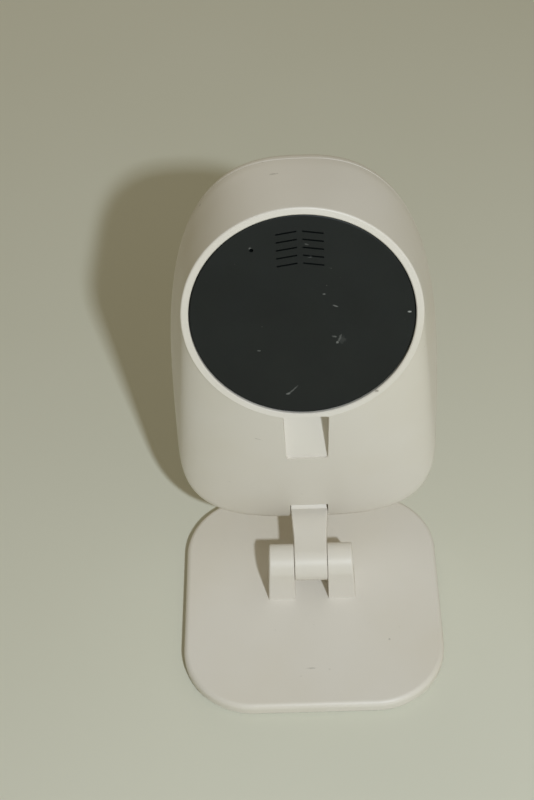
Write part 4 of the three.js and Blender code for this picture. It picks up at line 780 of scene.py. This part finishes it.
class CAMERA_OT_rear_housing(bpy.types.Operator):
    """Adds the moulded rear housing with its round rim, cable bay and hinge slot"""

    bl_idname = "security_camera.rear_housing"
    bl_label = "Rear housing"

    def execute(self, context):
        head = context.scene.camera_head
        place = partial(place_in_head, head)
        piece = new_object("housing_shell", closed_skin("housing_shell", place(self.skin(head))))
        inside = self.hollow(head, head.wall, head.floor, head.ledge_back, head.seam + PAST)
        carve(piece, [closed_skin("hollow", place(inside))])
        for block in self.blocks(head, place):
            limit = self.hollow(head, head.block_inset, head.block_inset, PAST, head.seam - head.gap)
            join_within(piece, block, closed_skin("limit", place(limit)))
        carve(piece, [*self.openings(head, place), *slot_tools(head, context.scene.camera_stand)])
        finish_piece(piece, "head", "shell", ["rear_housing"], sharp=32)
        return {"FINISHED"}

    def skin(self, head):
        """The outer skin. A row at depth t is rim + share (full - rim), where the share grows in proportion
        to the depth and bends softly to 1 where the flare ends."""
        edge = rounding(head.rim_edge, 5)[:-1]
        rows = [rim_circle(head, head.rim - inset) for inset, _ in edge]
        depths = [advance for _, advance in edge]
        start, stop = head.flare - head.crease, head.flare + head.crease
        depth = np.append(between(head.rim_edge, start, 22), between(start, stop, 7)[1:])
        slope = 1 / (head.flare - head.rim_edge)
        bend = 1 - np.clip(stop - depth, 0, stop - start) ** 2 / (4 * head.crease) * slope
        share = np.where(depth > start, bend, (depth - head.rim_edge) * slope)
        rim, full = rim_circle(head, head.rim), head_outline(head)
        rows += [on_the_way(rim, full, s) for s in share]
        depths += [*depth]
        for inset, advance in rounding(head.edge, 4)[::-1]:
            rows.append(head_outline(head, inset))
            depths.append(head.seam - advance)
        return rows_at(rows, depths)

    def hollow(self, head, wall, floor, start, end):
        """The skin moved in by a wall, and by a floor below, from one depth to another: rim + share
        (full - rim), where the share grows from 0 at the wall's depth to 1 at the flare's end."""
        rim, full = rim_circle(head, head.rim - wall), head_outline(head, wall, floor)
        depth = between(start, head.flare, 12)
        rows = [on_the_way(rim, full, (d - wall) / (head.flare - wall)) for d in depth]
        return rows_at([*rows, full], [*depth, end])

    def blocks(self, head, place):
        """The walls around the cable bay, and the two cheeks beside the hinge slot."""
        wall, top = head.bay_wall, head.recess_depth - head.gap
        half = head.bay_width / 2 + wall
        bay = box_skin((-half, -head.bay_depth - wall, -head.low), (half, -top, -head.rim + wall), place)
        half, high = head.slot_half + head.cheek, head.cheek_high - head.hinge_low
        cheeks = box_skin((-half, -head.seam, -head.low - PAST), (half, -head.seam / 2, high), place)
        return [bay, cheeks]

    def openings(self, head, place):
        """The recess for the cover, the ledge's opening, the cable bay and the socket's mouth."""

        def drawn_in(points):
            """Towards the lower end the bay's sides come in by the draft and its floor falls away."""
            x, y, z = np.moveaxis(points, -1, 0)
            below = np.clip(-head.rim - z, 0, None) / head.bay_length
            floor = np.where(y < 0, head.bay_fall * below, 0)
            return place(np.stack([x - np.sign(x) * head.bay_draft * below, y - floor, z], axis=-1))

        edge, deep = head.recess_edge, head.recess_depth
        radius, half, mouth = head.recess, head.bay_width / 2, head.socket_half
        recess = [(0, -PAST), (radius + 2 * edge, -PAST), (radius + edge, 0), (radius, edge)]
        return [
            lathe("recess", head, [*recess, (radius, deep), (0, deep)], 256),
            lathe("ledge", head, cylinder(head.ledge, PAST, head.ledge_back + PAST), 192),
            box_skin(
                (-half, -head.bay_depth, -head.rim - head.bay_length),
                (half, PAST, -head.rim + head.bay_corner),
                drawn_in,
                head.bay_corner,
            ),
            box_skin(
                (-mouth, -head.socket_front, -head.rim - PAST),
                (mouth, -head.socket_back, -head.rim + 5 * PAST),
                place,
                head.socket_corner,
            ),
        ]


def slot_tools(head, stand):
    """The space for the head's knuckle and the arm: a rod about the hinge axis, a box below and behind it,
    and a box whose roof follows the highest line that the arm's top reaches when the head leans back."""
    half, radius = head.slot_half, head.knuckle
    around = tube("around", cylinder(radius, -half, half), 96, HEAD_HINGE)
    low = (-half, -head.hinge_depth - radius, -head.low - 2 * PAST)
    below = box_skin(low, (half, 0, -head.hinge_low), partial(place_in_head, head))
    straight = stand.arm_length - sqrt(stand.head_knuckle**2 - stand.arm_top**2)
    rise = head.tilt_back - ARM_RISE + np.arctan((stand.knuckle - stand.arm_top) / straight)

    def raised(points):
        return turned_about_x(points, rise) + np.array(HEAD_HINGE)

    return [around, below, box_skin((-half, 0, -radius), (half, head.hinge_depth, radius), raised)]


class CAMERA_OT_rear_cover(bpy.types.Operator):
    """Adds the charcoal rear cover with its speaker slots and reset pinhole"""

    bl_idname = "security_camera.rear_cover"
    bl_label = "Rear cover"

    def execute(self, context):
        head, cover = context.scene.camera_head, context.scene.camera_cover
        front = cover.sink + cover.thickness
        through = (-PAST, front + 2 * PAST)
        disc = [(cover.radius - inset, cover.sink + advance) for inset, advance in rounding(cover.edge, 5)]
        piece = new_object("cover_disc", lathe("cover_disc", head, [*disc, (cover.radius, front)], 256))
        pin = cylinder(cover.pinhole, *through)
        pinhole = lathe("pinhole", head, pin, 32, cover.pinhole_x, cover.slots_high)
        carve(piece, [*self.slots(head, cover, through), pinhole])
        finish_piece(piece, "head", "cover", ["rear_cover"], sharp=35)
        return {"FINISHED"}

    def slots(self, head, cover, through):
        """Slots with round ends, in two columns. Each falls to x cos(slant), z - side x sin(slant)."""
        half = (cover.slot_length / 2, cover.slot_height / 2)
        along, up = corner_ring(half, cover.slot_height / 2, 24)
        tools = []
        for row in range(cover.rows):
            high = cover.slots_high + (row - (cover.rows - 1) / 2) * cover.slot_pitch
            for side in (1, -1):
                x = along * cos(cover.slant) + side * (cover.slot_split + cover.slot_length) / 2
                ring = (x, up - side * along * sin(cover.slant) + high)
                tools.append(closed_skin("slot", place_in_head(head, rows_at([ring, ring], through))))
        return tools


class CAMERA_OT_front_bezel(bpy.types.Operator):
    """Adds the front shell with its rounded edge and its seat for the window"""

    bl_idname = "security_camera.front_bezel"
    bl_label = "Front bezel"

    def execute(self, context):
        head = context.scene.camera_head
        place = partial(place_in_head, head)
        piece = new_object("front_shell", closed_skin("front_shell", place(self.cap(head))))
        wall, floor, behind = head.wall + head.gap, head.floor + head.gap, head.seam - head.tongue
        carve(piece, [self.ring(head, wall, floor, behind, head.seam + 2 * PAST)], "UNION")
        inside = (wall + head.wall, floor + head.wall, behind - PAST, head.front_inside)
        carve(piece, [self.ring(head, *inside)])
        half, high = head.slot_half + head.cheek, head.cheek_high - head.hinge_low
        low = (-half, -head.front_inside - PAST, -head.low - PAST)
        block = box_skin(low, (half, -head.seam - head.gap, high), place)
        join_within(piece, block, closed_skin("limit", place(self.cap(head, head.block_inset))))
        openings = self.openings(head, context.scene.camera_optics)
        carve(piece, [*openings, *slot_tools(head, context.scene.camera_stand)])
        finish_piece(piece, "head", "shell", ["front_bezel"], sharp=32)
        return {"FINISHED"}

    def cap(self, head, within=0.0):
        """A quarter ellipse from the seam to the front face: inset = round (1 - cos a), depth = start +
        (depth - start) sin a, and then a flat face. It can be drawn a little within the outer skin."""
        seam = head.seam + head.seam_gap + within / 2
        edge = rounding(head.edge, 4)[:-1]
        rows = [head_outline(head, within + inset) for inset, _ in edge]
        depths = [seam + advance for _, advance in edge]
        start = seam + head.edge
        for angle in between(0, pi / 2, 20):
            rows.append(head_outline(head, within + head.front_round * (1 - cos(angle))))
            depths.append(start + (head.depth - within - start) * sin(angle))
        return rows_at(rows, depths)

    def ring(self, head, wall, floor, start, end):
        """The full outline set in by a wall, and by a floor below, straight from one depth to another."""
        outline = head_outline(head, wall, floor)
        return closed_skin("ring", place_in_head(head, rows_at([outline, outline], [start, end])))

    def openings(self, head, optics):
        """The window's seat with its bevelled edge, the opening behind it and the microphone's hole."""
        seat, bevel = optics.window + head.gap, optics.seat_edge
        flush, past = optics.window_front + optics.seat_lip, head.depth + PAST
        edge = [(seat + bevel, past), (seat + bevel, flush + bevel), (seat, flush)]
        back = optics.window_back - head.gap
        inside = head.front_inside - PAST
        clear, ear = cylinder(optics.clear, inside, past), cylinder(optics.microphone, inside, past)
        return [
            lathe("seat", head, [(0, past), *edge, (seat, back), (0, back)], 256, height=-optics.drop),
            lathe("window", head, clear, 192, height=-optics.drop),
            lathe("ear", head, ear, 32, height=-optics.microphone_low),
        ]


class CAMERA_OT_optics(bpy.types.Operator):
    """Adds the smoked window, the lens, its shroud and the infrared lamps"""

    bl_idname = "security_camera.optics"
    bl_label = "Optics"

    def execute(self, context):
        head, optics = context.scene.camera_head, context.scene.camera_optics
        self.add_window(head, optics)
        self.add_lens(head, optics)
        self.add_lamps(head, optics)
        return {"FINISHED"}

    def add_turned(self, head, optics, name, profile, finish_name, node, sharp=30, steps=128, at=(0, 0)):
        """Adds a solid of revolution from (radius, depth) pairs, at a place from the lens axis."""
        mesh = lathe(name, head, profile, steps, at[0], at[1] - optics.drop)
        finish_piece(new_object(name, mesh), "head", finish_name, [node], sharp)

    def add_window(self, head, optics):
        radius, edge, back = optics.window, optics.window_edge, optics.window_back
        profile = [(radius - edge, back), (radius, back + edge)]
        for inset, advance in rounding(edge, 3)[::-1]:
            profile.append((radius - inset, optics.window_front - advance))
        self.add_turned(head, optics, "window", profile, "window", "front_glass", 20, 256)

    def add_lens(self, head, optics):
        """The barrel with its stepped, light-trapping front, the front lens in it, whose dome is at
        sqrt(s^2 - r^2) on a sphere of radius s = (lens^2 + rise^2) / (2 rise), and the soft sleeve."""
        back, front = depths_of(head, "lens_barrel")
        trap = [(6.25 - 0.25 * k - 0.05 * end, -0.35 * (k + end)) for k in range(4) for end in (0, 1)]
        barrel = [
            *from_depth(back, (4.4, 0), (5.2, 0), (5.2, 5.1), (6.75, 5.1), (6.9, 5.25)),
            *from_depth(front, (6.9, -0.75), (6.82, -0.5), (6.5, -0.06), (6.35, 0), *trap),
            *from_depth(front, (5.2, -1.6), (5.2, -2.6), (3.4, -3.0)),
            *from_depth(back, (3.4, 3.4), (4.4, 3.0), (4.4, 0)),
        ]
        self.add_turned(head, optics, "lens_tube", barrel, "black_plastic", "lens_barrel", 25)
        rear, _ = depths_of(head, "lens_front_element")
        lens, rise, side = optics.lens, optics.lens_rise, rear + optics.lens_side
        sphere = (lens**2 + rise**2) / (2 * rise)
        dome = [(0, rear), (lens, rear), (lens, side)]
        for radius in between(lens, 0, 14)[1:]:
            dome.append((radius, side + rise - sphere + sqrt(sphere**2 - radius**2)))
        self.add_turned(head, optics, "lens_dome", dome, "lens", "lens_front_element", 40)
        back, front = depths_of(head, "lens_shroud")
        inner, outer, edge = optics.sleeve_inner, optics.sleeve_outer, optics.sleeve_edge
        sleeve = [(inner, back), (outer, back), (outer, front - edge), (outer - edge, front)]
        sleeve += [(inner + edge, front), (inner, front - edge), (inner, back)]
        self.add_turned(head, optics, "lens_sleeve", sleeve, "rubber", "lens_shroud")

    def add_lamps(self, head, optics):
        """Clear lamps in a ring, each with a flanged foot, a straight side and a half-round top at
        (r cos a, r sin a)."""
        nodes = sorted(name for name in frame["nodes"] if name.startswith("ir_led_"))
        radius, foot, high, edge = optics.lamp, optics.lamp_foot, optics.lamp_foot_high, 0.05 * MM
        for k, node in enumerate(nodes):
            back, _ = depths_of(head, node)
            lamp = [(0, back), (foot - edge, back), (foot, back + edge), (foot, back + high - edge)]
            lamp += [(foot - edge, back + high), (radius, back + high)]
            lamp += [(radius * cos(a), back + radius + radius * sin(a)) for a in between(0, pi / 2, 9)]
            angle = 2 * pi * k / len(nodes)
            at = (optics.lamp_ring * cos(angle), optics.lamp_ring * sin(angle))
            self.add_turned(head, optics, f"lamp_{k + 1}", lamp, "clear_optics", node, 30, 36, at)


def from_depth(depth, *pairs):
    """Radii and steps from a depth, both in millimetres, as radii and depths in metres."""
    return [(radius * MM, depth + step * MM) for radius, step in pairs]


def depths_of(head, node):
    """Depths of the rear and the front end of a CAD node along the lens axis."""
    points = np.array([vertex.co for vertex in frame["nodes"][node].data.vertices], float)
    depth = head.hinge_depth - turned_about_x(points - np.array(HEAD_HINGE), -head.tilt)[:, 1]
    return depth.min(), depth.max()


class CAMERA_OT_base_plate(bpy.types.Operator):
    """Adds the rounded-square base plate with its two hinge lugs, and its soft foot"""

    bl_idname = "security_camera.base_plate"
    bl_label = "Base plate"

    def execute(self, context):
        stand = context.scene.camera_stand
        low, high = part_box("base_plate")
        half = high.x
        piece = new_object("plate", closed_skin("plate", self.plate(stand, half, low.z)))
        foot = self.pocket(stand, half, stand.foot_border, -PAST, stand.foot_pocket)
        carve(piece, [foot, self.pocket(stand, half, stand.weight_border, 0, stand.weight_pocket)])
        carve(piece, [self.lug(stand, side) for side in (1, -1)], "UNION")
        carve(piece, self.bores(stand))
        finish_piece(piece, "base", "shell", ["base_plate"], sharp=28)
        self.add_foot(stand, half)
        return {"FINISHED"}

    def plate(self, stand, half, bottom):
        """Rounded squares stacked in Z, with a quarter circle at both edges."""
        up, down = rounding(stand.foot_round, 7), rounding(stand.top_round, 9)[::-1]
        rows = [rounded_square(stand, half, inset, bottom + advance) for inset, advance in up]
        return rows + [rounded_square(stand, half, inset, stand.top - advance) for inset, advance in down]

    def pocket(self, stand, half, inset, low, high):
        return closed_skin("pocket", [rounded_square(stand, half, inset, z) for z in (low, high)])

    def lug(self, stand, side):
        """An upright cheek: each ring is a straight-sided arch in Y and Z, set in near both faces, and the
        rings move along X. The outer face leans in by the draft towards the top."""
        inner = stand.knuckle_width / 2 + stand.gap
        outer = inner + stand.lug
        arch = between(0, pi, 49)
        reach = BASE_HINGE.z - stand.top + stand.lug_root
        unit_y = np.concatenate([np.cos(arch), [-1, 1]])
        unit_z = np.concatenate([np.sin(arch), [0, 0]])
        foot = np.concatenate([np.zeros(len(arch)), [reach, reach]])
        faces = [(inner + advance, inset) for inset, advance in rounding(stand.lug_inner_round, 4)]
        faces += [(outer - advance, inset) for inset, advance in rounding(stand.lug_round, 7)[::-1]]
        rows = []
        for x, inset in faces:
            y = BASE_HINGE.y + (stand.knuckle - inset) * unit_y
            z = BASE_HINGE.z + (stand.knuckle - inset) * unit_z - foot
            share = np.clip((z - stand.top) / (BASE_HINGE.z + stand.knuckle - stand.top), 0, 1)
            lean = stand.draft * share * (x - inner) / stand.lug
            rows.append(np.stack([side * (x - lean), y, z], axis=-1))
        return closed_skin("lug", rows)

    def bores(self, stand):
        """The pin's bore through both lugs and the wider seat of its cap."""
        low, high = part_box("base_hinge_plug")
        far = low.x - PAST
        pin = cylinder(stand.pin_bore, far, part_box("base_hinge_pin")[1].x + stand.pin_room)
        cap = cylinder(stand.plug_seat, far, high.x + stand.pin_room)
        return [tube("pin bore", pin, 64, BASE_HINGE), tube("cap seat", cap, 64, BASE_HINGE)]

    def add_foot(self, stand, half):
        """A pressed rubber pad with a rounded lower edge."""
        low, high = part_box("base_foot")
        border = half - high.x
        edge = rounding(stand.foot_edge, 5)
        rows = [rounded_square(stand, half, border + inset, low.z + advance) for inset, advance in edge]
        rows.append(rounded_square(stand, half, border, high.z))
        finish_piece(new_object("foot_pad", closed_skin("foot_pad", rows)), "base", "rubber", ["base_foot"])


class CAMERA_OT_arm(bpy.types.Operator):
    """Adds the short arm between the base and the head"""

    bl_idname = "security_camera.arm"
    bl_label = "Arm"

    def execute(self, context):
        stand = context.scene.camera_stand
        x, along, z = np.moveaxis(self.skin(stand), -1, 0)
        swung = turned_about_x(np.stack([x, -along, z], axis=-1), -ARM_RISE) + np.array(BASE_HINGE)
        piece = new_object("arm_link", closed_skin("arm_link", swung))
        axes = ("base_hinge_sleeve", BASE_HINGE), ("head_hinge_sleeve", HEAD_HINGE)
        carve(piece, [self.bore(stand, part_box(sleeve)[1].x, centre) for sleeve, centre in axes])
        finish_piece(piece, "arm", "shell", ["arm"])
        return {"FINISHED"}

    def bore(self, stand, sleeve, centre):
        """The seat of a hinge's sleeve, closed by a thin skin at both ends but for the pin's hole."""
        seat, end = sleeve + stand.sleeve_room, stand.arm_wide
        half = [(stand.bore, seat), (stand.pin_bore, seat), (stand.pin_bore, end), (0, end)]
        return tube("bore", [(radius, -x) for radius, x in reversed(half)] + half, 64, centre)

    def side(self, stand):
        """The level arm's side view as a closed ring of (y, z) points, with the point of the centreline
        behind each: an arc about each axis, joined by straight lines below and above."""
        span, first, last = stand.arm_length, stand.knuckle, stand.head_knuckle
        turn = between(pi / 2, 2 * pi - np.arcsin(stand.arm_below / first), 41)
        back = between(pi + np.arcsin(stand.arm_below / last), 3 * pi - np.arcsin(stand.arm_top / last), 41)
        near, far = first * np.cos(turn), span + last * np.cos(back)
        share = between(0, 1, 30)[1:-1]
        low, high = near[-1] + share * (far[0] - near[-1]), far[-1] * (1 - share)
        under = np.full(len(share), -stand.arm_below)
        over = stand.arm_top + share * (first - stand.arm_top)
        y = np.concatenate([near, low, far, high])
        z = np.concatenate([first * np.sin(turn), under, last * np.sin(back), over])
        centre = np.concatenate([np.zeros(len(turn)), low, np.full(len(back), span), high])
        return y, z, np.clip(centre, 0, span)

    def half_width(self, stand, y):
        """Half of the width along the arm: from 0.28 to 0.88 of its length it widens evenly."""
        share = np.clip((y / stand.arm_length - 0.28) / 0.6, 0, 1)
        return (stand.knuckle_width + (stand.arm_wide - stand.knuckle_width) * share) / 2

    def skin(self, stand):
        """Rings of the side view moved along X to the half width and set in at the long edges, with sides
        made of rings that shrink onto the centreline."""
        y, z, centre = self.side(stand)
        far = np.hypot(y - centre, z)
        scales = [(0.02, 0), (0.5, 0)]  # the sides' inner rings
        scales += [(1 - inset / far, advance) for inset, advance in rounding(stand.arm_round, 6)]
        half = []
        for scale, advance in scales:
            ring_y = centre + (y - centre) * scale
            half.append(np.stack([self.half_width(stand, ring_y) - advance, ring_y, z * scale], axis=-1))
        return np.array(half + [ring * (-1, 1, 1) for ring in reversed(half)])


class CAMERA_OT_inner_parts(bpy.types.Operator):
    """Gives the frame's own parts, such as boards, screws and pins, their finishes"""

    bl_idname = "security_camera.inner_parts"
    bl_label = "Inner parts"

    finishes = {
        "steel": (
            "base_weight base_hinge_pin base_hinge_sleeve head_hinge_sleeve head_hinge_pin soc_shield "
            "wifi_module usb_socket speaker_magnet microphone board_screw_1 board_screw_2 board_screw_3 "
            "board_screw_4 camera_screw_1 camera_screw_2 camera_screw_3 camera_screw_4"
        ),
        "shell": "base_hinge_plug",
        "black_plastic": (
            "reset_switch reset_plunger antenna_cable speaker_frame speaker_cable lens_holder image_sensor"
        ),
        "cone": "speaker_cone",
        "rubber": "speaker_gasket",
        "aluminium": "heat_spreader",
        "circuit_board": "main_board wifi_antenna camera_board ir_board",
        "clear_optics": "ir_cut_filter lens_rear_element light_sensor status_led",
        "tape": "cover_tape camera_ribbon",
    }

    def execute(self, context):
        for finish_name, names in self.finishes.items():
            for name in names.split():
                materials = frame["nodes"][name].data.materials
                materials.clear()
                materials.append(material_for(finish_name))
        return {"FINISHED"}


class CAMERA_PT_panel(bpy.types.Panel):
    """Lists the camera's sizes, colours and the steps that build it"""

    bl_idname = "CAMERA_PT_panel"
    bl_label = "Security camera"
    bl_space_type = "VIEW_3D"
    bl_region_type = "UI"
    bl_category = "Security camera"

    def draw(self, context):
        for group in GROUPS:
            box = self.layout.box()
            box.label(text=group.__doc__)
            values = getattr(context.scene, GROUPS[group])
            for name in group.__annotations__:
                box.prop(values, name)
        for step in STEPS:
            self.layout.operator(step.bl_idname)


GROUPS = {
    CAMERA_PG_head: "camera_head",
    CAMERA_PG_cover: "camera_cover",
    CAMERA_PG_optics: "camera_optics",
    CAMERA_PG_stand: "camera_stand",
    CAMERA_PG_colours: "camera_colours",
}
STEPS = (
    CAMERA_OT_stage,
    CAMERA_OT_rear_housing,
    CAMERA_OT_rear_cover,
    CAMERA_OT_front_bezel,
    CAMERA_OT_optics,
    CAMERA_OT_base_plate,
    CAMERA_OT_arm,
    CAMERA_OT_inner_parts,
)


def register():
    for group, name in GROUPS.items():
        bpy.utils.register_class(group)
        setattr(bpy.types.Scene, name, bpy.props.PointerProperty(type=group))
    for step in (*STEPS, CAMERA_PT_panel):
        bpy.utils.register_class(step)


def unregister():
    for step in (*STEPS, CAMERA_PT_panel):
        bpy.utils.unregister_class(step)
    for group, name in GROUPS.items():
        delattr(bpy.types.Scene, name)
        bpy.utils.unregister_class(group)


def main():
    register()
    for step in STEPS:
        package, name = step.bl_idname.split(".")
        getattr(getattr(bpy.ops, package), name)()


if __name__ == "__main__":
    main()
